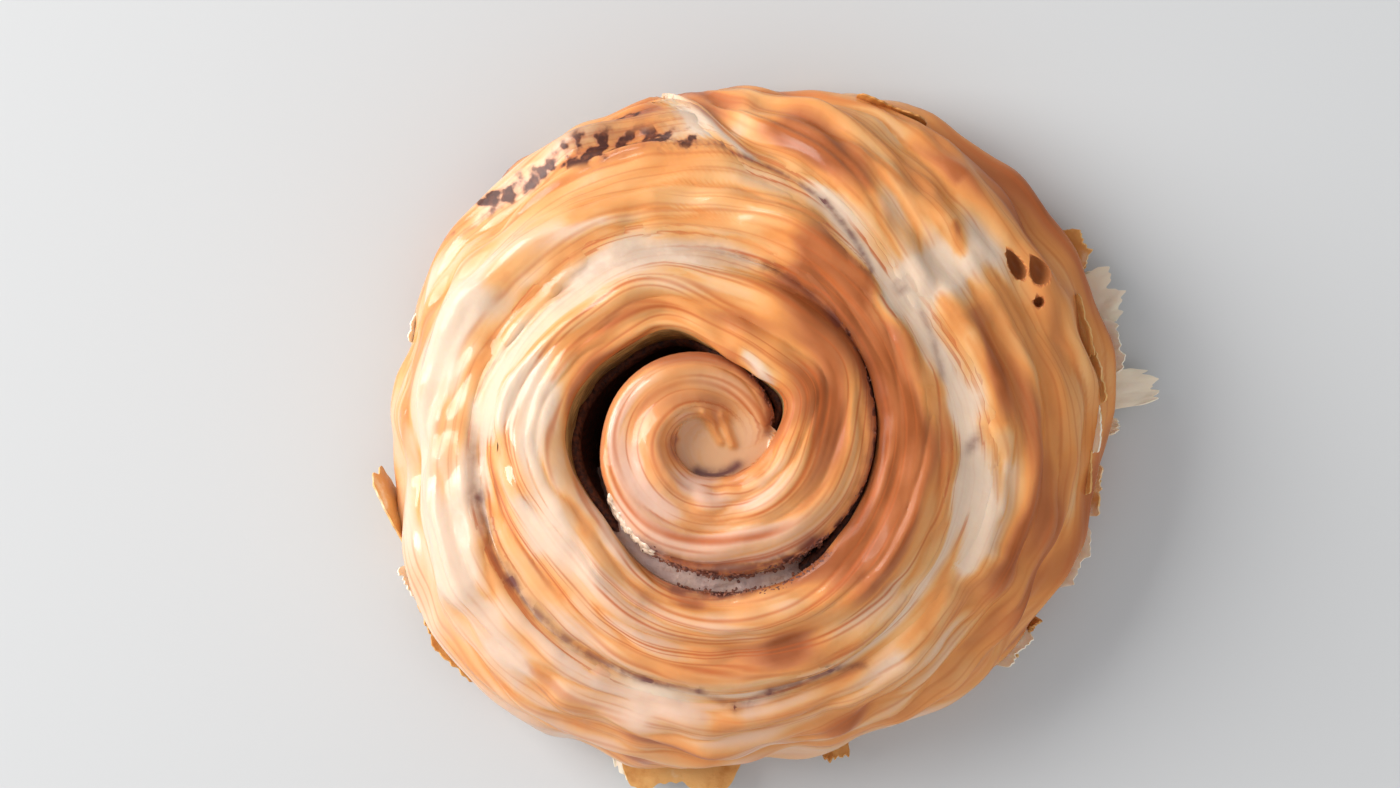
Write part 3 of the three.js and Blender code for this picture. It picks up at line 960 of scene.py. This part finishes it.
def make_rim_lumps(name, rows, melted, dough, material):
    """Scatters lumps along rows, each squashed and turned in its own way, and melts them together."""
    draw = np.random.default_rng(LUMP_SEED)
    deselect_all()
    bpy.ops.mesh.primitive_ico_sphere_add(subdivisions=2, radius=1)
    lump = bpy.context.object
    corners = np.array([vertex.co for vertex in lump.data.vertices])
    faces = np.array([face.vertices for face in lump.data.polygons])
    bpy.data.objects.remove(lump)

    points, triangles = [], []
    for start, end, side, spread, count, least, greatest in rows:
        turns = draw.uniform(start, end, count)
        radius = lerp(outer_radius(turns), inner_radius(turns + 1), side) + draw.normal(0, spread, count)
        sizes = draw.uniform(least, greatest, count)
        lowest = rim_height(turns)[:, None] - LUMP_LOWEST
        ground, _, _ = ground_under(dough, wind(turns[:, None], radius[:, None], 0), lowest)
        places = wind(turns, radius, ground[:, 0] - LUMP_SINK * sizes)
        for place, size in zip(places, sizes):
            squashed = corners * draw.uniform(*LUMP_SQUASH, 3)
            turned = squashed @ np.linalg.qr(draw.normal(size=(3, 3)))[0]
            triangles.append(faces + len(corners) * len(points))
            points.append(place + turned * (1, 1, LUMP_FLATNESS) * size * MM)
    mesh = bpy.data.meshes.new(name)
    mesh.from_pydata(np.concatenate(points).tolist(), [], np.concatenate(triangles).tolist())
    lumps = bpy.data.objects.new(name, mesh)
    bpy.context.scene.collection.objects.link(lumps)
    select_only(lumps)
    bpy.ops.object.mode_set(mode="EDIT")
    bpy.ops.mesh.select_all(action="SELECT")
    bpy.ops.mesh.normals_make_consistent(inside=False)
    bpy.ops.object.mode_set(mode="OBJECT")
    fineness, smoothing = melted
    apply_modifier(lumps, "REMESH", mode="VOXEL", voxel_size=fineness * MM)
    apply_modifier(lumps, "SMOOTH", iterations=smoothing)
    bpy.ops.object.shade_smooth()
    return finish_piece(lumps, material)


# Flakes of crust that lift off the flank, and burst bubbles in it

FLAKE_COLUMNS = 41
FLAKE_ROWS = 13
FLAKE_THICKNESS = 0.3
FLAKE_ROOT = 0.35  # the share of a flake that is still in the flank
FLAKE_STEEP = 60  # a flake that lifts more than this is a single sheet
FLAKE_TEARS = ((0.26, 1.6, 0.2), (0.14, 6.5, 1.6))  # depth, waves and layer of noise of the torn edge
FLAKE_CORNERS = 0.2  # how much further back its corners are torn
FLAKE_CORNER_POWER = 8
FLAKE_SEED = (40, 7)  # for each turn and for each layer, so that no two sheets are torn alike
FLAKE_SIDES = (0.12, 2.5, 3.1)  # the same for its two sides as for the torn edge
FLAKE_TAPER = 0.1
FLAKE_RIPPLE = (0.7, 1.7, 2.2)  # height, and waves along and out
FLAKE_LOWEST = 0.3
FLAKE_SMOOTH_ANGLE = 50
LOWER_SHEET = {"shorter": 0.25, "flatter": 9, "below": 0.5, "darker": 0.25}
FLAKES = (
    # turn, height, how far off the flank, length along it, reach, lift, curl and swing in degrees, paleness
    (0.693, 9.0, -0.4, 5.6, 3.0, 45, 10, 6, 1.2),
    (0.796, 6.0, 2.2, 21.0, 6.0, 72, 0, 11, 0.6),
    (0.822, 5.0, -0.2, 7.0, 5.4, 40, 10, 0, 1.05),
    (0.843, 3.0, -0.4, 8.0, 5.4, 26, 14, -6, 0.4),
    (0.862, 5.0, -0.6, 12.0, 4.6, 34, 10, 5, 0.3),
    (0.985, 3.0, -0.8, 20.0, 8.0, 14, 8, -3, 0.42),
    (0.960, 1.8, -0.4, 7.0, 7.0, 4, 6, 4, 1.1),
    (0.063, 3.0, -0.6, 5.0, 6.4, 22, 20, -14, 0.4),
    (0.153, 6.0, -0.4, 8.0, 5.0, 34, 6, 4, 1.0),
    (0.163, 4.0, -0.4, 3.4, 7.0, 24, 50, 16, 0.35),
    (0.200, 7.0, -0.4, 12.0, 5.4, 36, 6, -6, 1.0),
    (0.228, 9.0, -0.4, 9.0, 4.4, 46, 4, 4, 0.75),
    (0.257, 2.0, -0.5, 4.0, 7.0, 10, 30, -8, 0.9),
    (0.268, 3.0, 0.5, 6.6, 11.0, 8, 3, 3, 1.15),
    (0.286, 5.0, -0.2, 10.0, 5.6, 22, 10, -4, 1.1),
    (0.236, 16.0, -0.4, 8.0, 2.4, 52, 8, 4, 0.45),
    (0.255, 17.0, -0.4, 9.0, 3.0, 50, 10, -3, 0.9),
    (0.276, 17.0, -0.5, 10.0, 2.6, 48, 8, 3, 0.55),
    (0.297, 18.0, -0.5, 11.0, 2.6, 50, 10, -2, 0.4),
    (0.304, 3.0, 0.0, 10.0, 8.4, 14, 4, 5, 1.1),
    (0.327, 5.0, 0.0, 7.5, 7.0, 40, 8, -10, 0.55),
    (0.420, 14.0, -0.5, 13.0, 3.8, 66, 6, 6, 0.05),
)
BUBBLES = (
    # turn, radius, half sizes along the strip, outwards and down, and how pointed the end is
    (0.333, 56.2, (2.7, 1.15, 3.0), 0.3),
    (0.326, 59.2, (2.5, 1.6, 3.0), 0.45),
    (0.313, 57.0, (0.85, 0.85, 2.2), 0.0),
)
BUBBLE_WALL = 0.03  # how near to a bubble a point is that lies on its wall, as a share of its size
BUBBLE_LEAST_WIDTH = 0.1
BUBBLE_LOOK = {
    "shown": 0.35,
    "milk": 0.05,
    "wet": 0.2,
    "rosy": 0.0,
    "layered": 0.0,
    "trace_and_shade": 0.0,
    "cinnamon": 0.0,
}


def flank_radius(turn, height):
    """How far the flank lies from the heart at a height."""
    if height < WIDEST_HEIGHT:
        return outline_radius(turn) - BASE_TUCK * (1 - height / WIDEST_HEIGHT) ** 2
    dome = (height - WIDEST_HEIGHT) / (ROLL_HEIGHT - WIDEST_HEIGHT)
    return outline_radius(turn) * (1 - dome ** (1 / DOME_ROUNDNESS)) ** (1 / DOME_POWER)


def flake_sheet(turn, height, off, length, reach, lift, curl, swing, paleness, layer):
    """One torn sheet of a flake, with its root in the flank. Layer 1 is the lower sheet."""
    angle = 2 * np.pi * turn + math.radians(swing)
    out = np.array([math.sin(angle), -math.cos(angle), 0])
    back = np.array([out[1], -out[0], 0])
    up = np.array([0, 0, 1])
    lower = {name: value * layer for name, value in LOWER_SHEET.items()}
    along = np.linspace(-1, 1, FLAKE_COLUMNS)[None, :]
    share = np.linspace(-FLAKE_ROOT, 1, FLAKE_ROWS)[:, None]
    seed = FLAKE_SEED[0] * turn + FLAKE_SEED[1] * layer

    torn = 1 + sum(depth * noise_at(waves * along, seed, z) for depth, waves, z in FLAKE_TEARS)
    torn = reach * torn * (1 - FLAKE_CORNERS * along**FLAKE_CORNER_POWER - lower["shorter"])
    steps = np.diff(share, axis=0, prepend=share[:1])
    tilt = np.radians(lift + curl * share - lower["flatter"])
    outwards = np.cumsum(steps * np.cos(tilt), axis=0) - FLAKE_ROOT
    upwards = np.cumsum(steps * np.sin(tilt), axis=0) - FLAKE_ROOT * math.sin(math.radians(lift))
    side_depth, side_waves, side_layer = FLAKE_SIDES
    narrowing = 1 + side_depth * noise_at(side_waves * share, seed, side_layer) - FLAKE_TAPER * share
    ripple_height, waves_along, waves_out = FLAKE_RIPPLE
    ripple = ripple_height * noise_at(waves_along * along, waves_out * share, seed) * np.maximum(share, 0)

    points = wind(turn, flank_radius(turn, height) + off, height) / MM + sum(
        direction * distance[..., None]
        for direction, distance in (
            (back, along * length / 2 * narrowing),
            (out, torn * outwards),
            (up, torn * upwards + ripple - lower["below"]),
        )
    )
    points[..., 2] = np.maximum(points[..., 2], FLAKE_LOWEST)
    sheet = rolled_grid("flake_sheet", points * MM)
    same_all_over(sheet, paleness=paleness - lower["darker"])
    return sheet


def make_flakes(material):
    sheets = []
    for flake in FLAKES:
        lift = flake[5]
        layers = 1 if lift > FLAKE_STEEP else 2
        sheets += [flake_sheet(*flake, layer) for layer in range(layers)]
    flakes = join_pieces(sheets, "crust_flakes")
    apply_modifier(flakes, "SOLIDIFY", thickness=FLAKE_THICKNESS * MM, offset=0)
    bpy.ops.object.shade_smooth_by_angle(angle=math.radians(FLAKE_SMOOTH_ANGLE))
    return finish_piece(flakes, material, "dough_coil")


def burst_bubbles(dough):
    """Cuts the burst bubbles into the flank."""
    bubbles, frames, strips = [], [], []
    for turn, radius, half_sizes, point in BUBBLES:
        above = wind(turn, radius, 0).reshape(1, 1, 3)
        surface, _, strip = ground_under(dough, above, 0.0)
        deselect_all()
        bpy.ops.mesh.primitive_ico_sphere_add(subdivisions=4, radius=1)
        bpy.ops.object.shade_smooth()
        bubble = bpy.context.object
        for vertex in bubble.data.vertices:
            vertex.co.y *= 1 - point * vertex.co.x
        bubble.location = wind(turn, radius, surface[0, 0])
        bubble.scale = np.array(half_sizes) * MM
        bubble.rotation_euler = (0, 0, 2 * math.pi * turn)
        bpy.context.view_layer.update()
        frames.append(np.array(bubble.matrix_world.inverted()))
        strips.append(strip[0, 0])
        bpy.ops.object.transform_apply(location=True, rotation=True, scale=True)
        bubbles.append(bubble)
    bubbles = join_pieces(bubbles, "bubbles")
    apply_modifier(dough, "BOOLEAN", operation="DIFFERENCE", solver="EXACT", object=bubbles)
    bpy.data.objects.remove(bubbles)
    colour_bubbles(dough, frames, strips)


def colour_bubbles(dough, frames, strips):
    """Gives the walls of the burst bubbles their own look, which runs into the crust at their rims."""
    mesh = dough.data
    flat = np.empty(3 * len(mesh.vertices))
    mesh.vertices.foreach_get("co", flat)
    places = np.ones((len(mesh.vertices), 4))
    places[:, :3] = flat.reshape(-1, 3)
    edges = np.empty(2 * len(mesh.edges), dtype=int)
    mesh.edges.foreach_get("vertices", edges)
    edges = edges.reshape(-1, 2)

    for frame_in, strip, (_, _, _, point) in zip(frames, strips, BUBBLES):
        x, y, z, _ = frame_in @ places.T
        from_middle = np.sqrt(x**2 + (y / np.maximum(1 - point * x, BUBBLE_LEAST_WIDTH)) ** 2 + z**2)
        on_wall = np.abs(from_middle - 1) < BUBBLE_WALL
        crossing = edges[on_wall[edges[:, 0]] != on_wall[edges[:, 1]]]
        for name, value in (*BUBBLE_LOOK.items(), ("strip", strip)):
            layer = mesh.attributes[name].data
            key = "vector" if name == "strip" else "value"
            for vertex in np.flatnonzero(on_wall):
                setattr(layer[vertex], key, value)
            for one, other in crossing:
                rim, crust = (one, other) if on_wall[one] else (other, one)
                setattr(layer[rim], key, getattr(layer[crust], key))


# Materials

def colour(r, g, b):
    return (r, g, b, 1.0)


FILM_COLOURS = (
    # How milky the film is, and the colour that it gives the crust
    (0.0, colour(0.34, 0.09, 0.022)),
    (0.15, colour(0.50, 0.165, 0.056)),
    (0.35, colour(0.72, 0.29, 0.085)),
    (0.55, colour(0.76, 0.395, 0.155)),
    (0.75, colour(0.76, 0.475, 0.275)),
    (1.0, colour(0.75, 0.57, 0.43)),
)
ROSY_GLAZE = colour(0.74, 0.41, 0.30)
LAYER_LINE = colour(0.52, 0.125, 0.03)
STAINED_GLAZE = colour(0.64, 0.43, 0.38)
FLAKE_PALE = colour(0.88, 0.79, 0.64)
FLAKE_TAN = colour(0.74, 0.43, 0.15)
FLAKE_BROWN = colour(0.55, 0.24, 0.055)
PASTE_DARK = colour(0.055, 0.016, 0.014)
PASTE_LIGHT = colour(0.20, 0.06, 0.03)
PASTE_HALO = colour(0.40, 0.11, 0.05)
CRUMB_DARK = colour(0.11, 0.032, 0.024)
CRUMB_LIGHT = colour(0.32, 0.11, 0.06)
# Colours of the seam traces and of the painted shade, where the film is bare and where it is milky
TRACE_AND_SHADE_BARE = colour(0.19, 0.05, 0.028)
TRACE_AND_SHADE_UNDER_GLAZE = colour(0.20, 0.085, 0.075)
WALL_DARK = colour(0.46, 0.26, 0.10)
WALL_LIGHT = colour(0.82, 0.52, 0.22)
FLOOR_GREY = colour(0.58, 0.59, 0.60)
ROOM_WHITE = colour(0.95, 0.97, 1.0)

LINE_FAMILIES = (
    # How many lines to a millimetre, how much they wander, their half width in millimetres, the patches
    # that they fade in to a millimetre along and across the strip, and how strong they are at most
    (0.3, 3.0, 0.5, (0.03, 0.2), 0.85),
    (0.55, 6.0, 0.34, (0.045, 0.3), 0.65),
)


class Tree:
    """Short ways to add shader nodes and join them."""

    def __init__(self, tree):
        self.tree = tree

    def node(self, kind, inputs=None, **settings):
        made = self.tree.nodes.new(kind)
        for key, value in settings.items():
            setattr(made, key, value)
        self.feed(made, inputs or {})
        return made

    def feed(self, node, inputs):
        """Joins each of a node's inputs to another socket, or gives it a value."""
        for name, value in inputs.items():
            if isinstance(value, bpy.types.NodeSocket):
                self.tree.links.new(value, node.inputs[name])
            else:
                node.inputs[name].default_value = value

    def place(self):
        return self.node("ShaderNodeTexCoord").outputs["Object"]

    def attribute(self, name, output="Fac"):
        return self.node("ShaderNodeAttribute", attribute_name=name).outputs[output]

    def math(self, operation, a, b, clamp=False):
        return self.node("ShaderNodeMath", {0: a, 1: b}, operation=operation, use_clamp=clamp).outputs[0]

    def plus(self, a, b, clamp=False):
        return self.math("ADD", a, b, clamp)

    def minus(self, a, b):
        return self.math("SUBTRACT", a, b)

    def times(self, a, b):
        return self.math("MULTIPLY", a, b)

    def noise(self, vector, scale, detail=2.0, roughness=0.5):
        """Noise with a number of lumps to each unit of length, which is a metre in Object coordinates."""
        inputs = {"Vector": vector, "Scale": scale, "Detail": detail, "Roughness": roughness}
        return self.node("ShaderNodeTexNoise", inputs).outputs["Fac"]

    def streaks(self, strip, along, across, detail=2.0, roughness=0.5):
        """Noise drawn out along the strip, with a number of lumps to a millimetre along and across it."""
        stretched = self.node("ShaderNodeMapping", {"Vector": strip, "Scale": (along, across, 1)})
        return self.noise(stretched.outputs["Vector"], 1.0, detail, roughness)

    def between(self, value, low, high, to_low=0.0, to_high=1.0):
        """Turns one range of values into another smoothly, and goes no further than its ends."""
        inputs = {"Value": value, "From Min": low, "From Max": high, "To Min": to_low, "To Max": to_high}
        return self.node("ShaderNodeMapRange", inputs, interpolation_type="SMOOTHSTEP").outputs["Result"]

    def mix(self, share, a, b):
        inputs = {"Factor": share, "A": a, "B": b}
        return self.node("ShaderNodeMix", inputs, data_type="RGBA").outputs["Result"]

    def ramp(self, value, stops):
        made = self.node("ShaderNodeValToRGB", {"Fac": value})
        elements = made.color_ramp.elements
        for position, shade in stops[1:-1]:
            elements.new(position).color = shade
        elements[0].color = stops[0][1]
        elements[-1].color = stops[-1][1]
        return made.outputs["Color"]

    def bump(self, height, strength, distance):
        inputs = {"Height": height, "Strength": strength, "Distance": distance * MM}
        return self.node("ShaderNodeBump", inputs).outputs["Normal"]

    def group(self, made_group, **inputs):
        return self.node("ShaderNodeGroup", inputs, node_tree=made_group).outputs


def new_material(name):
    material = bpy.data.materials.new(name)
    material.use_nodes = True
    material.node_tree.nodes.clear()
    tree = Tree(material.node_tree)
    shader = tree.node("ShaderNodeBsdfPrincipled")
    tree.node("ShaderNodeOutputMaterial", {"Surface": shader.outputs["BSDF"]})
    return tree, shader, material


def light_inside(weight, radius, depth):
    """The inputs for light that goes into a surface and comes out again nearby."""
    return {"Subsurface Weight": weight, "Subsurface Radius": radius, "Subsurface Scale": depth * MM}


def cinnamon_specks_group():
    """Cinnamon in blotches and broken lines, where the value given is high enough."""
    group = bpy.data.node_groups.new("cinnamon_specks", "ShaderNodeTree")
    for name, side, kind in (
        ("Colour", "INPUT", "NodeSocketColor"),
        ("Cinnamon", "INPUT", "NodeSocketFloat"),
        ("Milk", "INPUT", "NodeSocketFloat"),
        ("Colour", "OUTPUT", "NodeSocketColor"),
        ("Amount", "OUTPUT", "NodeSocketFloat"),
    ):
        group.interface.new_socket(name, in_out=side, socket_type=kind)
    t = Tree(group)
    given = t.node("NodeGroupInput").outputs
    place = t.place()
    blotch = t.plus(t.noise(place, 370.0, 1), t.times(t.noise(place, 1100.0, 1), 0.2))
    raised = t.plus(given["Cinnamon"], t.times(t.minus(blotch, 0.6), 2.8))
    there = t.between(given["Cinnamon"], 0.1, 0.5)
    amount = t.times(t.between(raised, 0.45, 0.75), there)
    halo = t.times(t.between(raised, 0.15, 0.6, 0.0, 0.6), there)
    grain = t.mix(t.between(t.noise(place, 900.0), 0.45, 0.75, 0.0, 0.6), PASTE_DARK, PASTE_LIGHT)
    veiled = t.mix(t.between(given["Milk"], 0.5, 1.0, 0.0, 0.15), grain, STAINED_GLAZE)
    stained = t.mix(halo, given["Colour"], PASTE_HALO)
    speckled = t.mix(t.times(amount, 0.95), stained, veiled)
    t.node("NodeGroupOutput", {"Colour": speckled, "Amount": amount})
    return group


def dough_material(cinnamon_specks):
    t, shader, material = new_material("laminated_dough")
    place = t.place()
    strip = t.attribute("strip", "Vector")
    milk = t.attribute("milk")
    shown = t.attribute("shown")
    layered = t.attribute("layered")
    trace_and_shade = t.attribute("trace_and_shade")

    # Soft lines where the layers of the dough come to the surface, fainter under a pool
    across = t.node("ShaderNodeSeparateXYZ", {0: strip}).outputs["Y"]
    wander = t.streaks(strip, 0.012, 0.11)
    lines = 0.0
    for per_mm, wandering, half_width, patches, most in LINE_FAMILIES:
        course = t.plus(t.times(across, per_mm), t.times(wander, wandering))
        drawn = t.between(t.math("PINGPONG", course, 0.5), 0.0, half_width * per_mm, most, 0.0)
        drawn = t.times(drawn, t.between(t.streaks(strip, *patches), 0.36, 0.58))
        lines = t.math("MAXIMUM", lines, drawn)
    lines = t.times(t.times(lines, t.between(milk, 0.72, 1.0, 1.0, 0.12)), layered)

    # Fine marks and wider streaks, which make the film more milky and less
    fine = t.times(t.minus(t.streaks(strip, 0.025, 0.6), 0.46), 0.14)
    wide = t.times(t.minus(t.streaks(strip, 0.06, 0.22), 0.42), 0.55)
    marks = t.times(t.plus(fine, wide), t.between(layered, 0.0, 1.0, 0.5, 1.0))
    marks = t.times(marks, t.between(milk, 0.72, 1.0, 1.0, 0.2))
    marked = t.math("MAXIMUM", t.plus(milk, marks, clamp=True), t.math("MINIMUM", milk, 0.3))

    # The crust under its film, and the porous walls of the seams
    rosy = t.times(t.attribute("rosy"), t.between(marked, 0.35, 0.75, 0.1, 0.65))
    film = t.mix(rosy, t.ramp(marked, FILM_COLOURS), ROSY_GLAZE)
    film = t.mix(lines, film, LAYER_LINE)
    pores = t.streaks(strip, 0.25, 1.2, 3, 0.65)
    wall = t.mix(t.between(pores, 0.4, 0.65), WALL_DARK, WALL_LIGHT)
    crust = t.mix(t.between(shown, 0.0, 0.5), wall, film)

    # Traces and painted shade, which are broken up unless they are strong, and cinnamon. The painted shadow
    # under the heart's lip is strong enough to stay whole
    broken = t.between(t.noise(place, 420.0, 3), 0.35, 0.6, 0.5, 1.0)
    unbroken = t.math("MAXIMUM", broken, t.between(trace_and_shade, 0.82, 0.95))
    trace_and_shade_colour = t.mix(t.between(milk, 0.3, 0.8), TRACE_AND_SHADE_BARE, TRACE_AND_SHADE_UNDER_GLAZE)
    crust = t.mix(t.times(trace_and_shade, unbroken), crust, trace_and_shade_colour)
    specks = t.group(cinnamon_specks, Colour=crust, Cinnamon=t.attribute("cinnamon"), Milk=milk)

    # Wet patches, with less of them in a pool, on cinnamon and down the walls
    wet = t.between(t.noise(place, 110.0, 3, 0.6), 0.4, 0.62, 0.4, 1.0)
    for share in (
        t.attribute("wet"),
        t.between(milk, 0.85, 1.0, 1.0, 0.4),
        t.between(specks["Amount"], 0.0, 1.0, 1.0, 0.3),
        t.between(shown, 0.1, 0.5),
    ):
        wet = t.times(wet, share)
    height = t.plus(t.times(lines, -0.2), t.times(t.noise(place, 330.0), 0.9))
    height = t.plus(height, t.times(specks["Amount"], 0.6))
    t.feed(shader, {
        "Base Color": specks["Colour"],
        "Roughness": t.between(marked, 0.2, 0.9, 0.48, 0.4),
        "Specular IOR Level": 0.15,
        "Coat Weight": wet,
        "Coat Roughness": 0.13,
        "Coat IOR": 1.6,
        "Normal": t.bump(height, 0.5, 0.4),
        **light_inside(0.22, (1.0, 0.45, 0.2), 1.0),
    })
    return material


def paste_material(name, dark, light):
    t, shader, material = new_material(name)
    grains = t.noise(t.place(), 1400.0, 3, 0.6)
    t.feed(shader, {
        "Base Color": t.mix(t.between(grains, 0.35, 0.65), dark, light),
        "Roughness": t.between(grains, 0.3, 0.7, 0.45, 0.8),
        "Normal": t.bump(grains, 0.8, 0.3),
    })
    return material


def flake_material():
    t, shader, material = new_material("dry_flakes")
    place = t.place()
    blotch = t.minus(t.noise(place, 260.0, 4, 0.6), 0.5)
    tone = t.plus(t.attribute("paleness"), t.times(blotch, 1.1))
    dark = t.mix(t.between(tone, 0.1, 0.5), FLAKE_BROWN, FLAKE_TAN)
    t.feed(shader, {
        "Base Color": t.mix(t.between(tone, 0.55, 0.95), dark, FLAKE_PALE),
        "Roughness": 0.55,
        "Normal": t.bump(t.noise(place, 900.0, 3), 0.4, 0.2),
        **light_inside(0.2, (1.0, 0.6, 0.35), 0.6),
    })
    return material


def glaze_material():
    t, shader, material = new_material("milky_glaze")
    place = t.place()
    cloud = t.noise(place, 300.0, 3, 0.55)
    milk = t.plus(t.attribute("milk"), t.times(t.minus(cloud, 0.5), 0.4), clamp=True)
    stain = t.times(t.attribute("stain"), t.between(cloud, 0.25, 0.6, 0.6, 1.0))
    t.feed(shader, {
        "Base Color": t.mix(stain, t.ramp(milk, FILM_COLOURS), STAINED_GLAZE),
        "Roughness": 0.35,
        "Coat Weight": 0.9,
        "Coat Roughness": 0.08,
        "Normal": t.bump(t.noise(place, 700.0, 3), 0.7, 0.6),
        **light_inside(0.15, (1.0, 0.6, 0.4), 1.0),
    })
    return material


# The studio, in metres

FLOOR_SIZE = 4.0
LIGHTS = (
    # Name, place, size, watts, tint, and whether it is mirrored in shiny surfaces
    ("window_left", (-0.95, 0.38, 0.62), 0.9, 20.0, (1.0, 0.98, 0.95), True),
    ("fill_front", (0.4, -1.0, 1.0), 2.2, 8.5, (1.0, 0.98, 0.96), False),
)
ROOM_STRENGTH = 0.46
CAMERA_PLACE = (-0.0105, 0.0077, 0.6)
CAMERA_LENS = 91.7


def area_light(name, place, size, watts, tint, mirrored):
    data = bpy.data.lights.new(name, "AREA")
    data.size = size
    data.energy = watts
    data.color = tint
    lamp = bpy.data.objects.new(name, data)
    lamp.location = place
    lamp.rotation_euler = (-Vector(place)).to_track_quat("-Z", "Y").to_euler()
    lamp.visible_glossy = mirrored
    bpy.context.scene.collection.objects.link(lamp)


def make_studio():
    deselect_all()
    bpy.ops.mesh.primitive_plane_add(size=FLOOR_SIZE)
    floor = bpy.context.object
    floor.name = "floor"
    t, shader, material = new_material("pale_floor")
    t.feed(shader, {"Base Color": FLOOR_GREY, "Roughness": 0.8})
    floor.data.materials.append(material)

    for light in LIGHTS:
        area_light(*light)
    world = bpy.data.worlds.new("soft_room")
    world.use_nodes = True
    background = world.node_tree.nodes["Background"]
    Tree(world.node_tree).feed(background, {"Color": ROOM_WHITE, "Strength": ROOM_STRENGTH})
    bpy.context.scene.world = world
    bpy.context.scene.view_settings.view_transform = "Standard"


def make_camera():
    data = bpy.data.cameras.new("overhead")
    data.lens = CAMERA_LENS
    camera = bpy.data.objects.new("overhead", data)
    camera.location = CAMERA_PLACE
    bpy.context.scene.collection.objects.link(camera)
    bpy.context.scene.camera = camera


make_studio()
make_camera()
laminated_dough = dough_material(cinnamon_specks_group())
milky_glaze = glaze_material()
dough_coil = make_dough(laminated_dough)
make_paste(paste_material("cinnamon_sugar_paste", PASTE_DARK, PASTE_LIGHT))
make_seam_glaze(dough_coil, laminated_dough)
make_gap_glaze(milky_glaze)
make_heart_glaze(dough_coil, laminated_dough)
baked_crumbs = paste_material("baked_crumbs", CRUMB_DARK, CRUMB_LIGHT)
make_rim_lumps("cinnamon_on_rim", GRAIN_ROWS, GRAIN_MELT, dough_coil, baked_crumbs)
drops = make_rim_lumps("glaze_on_rim", DROP_ROWS, DROP_MELT, dough_coil, milky_glaze)
same_all_over(drops, milk=1.0, stain=0.0)
burst_bubbles(dough_coil)
make_flakes(flake_material())
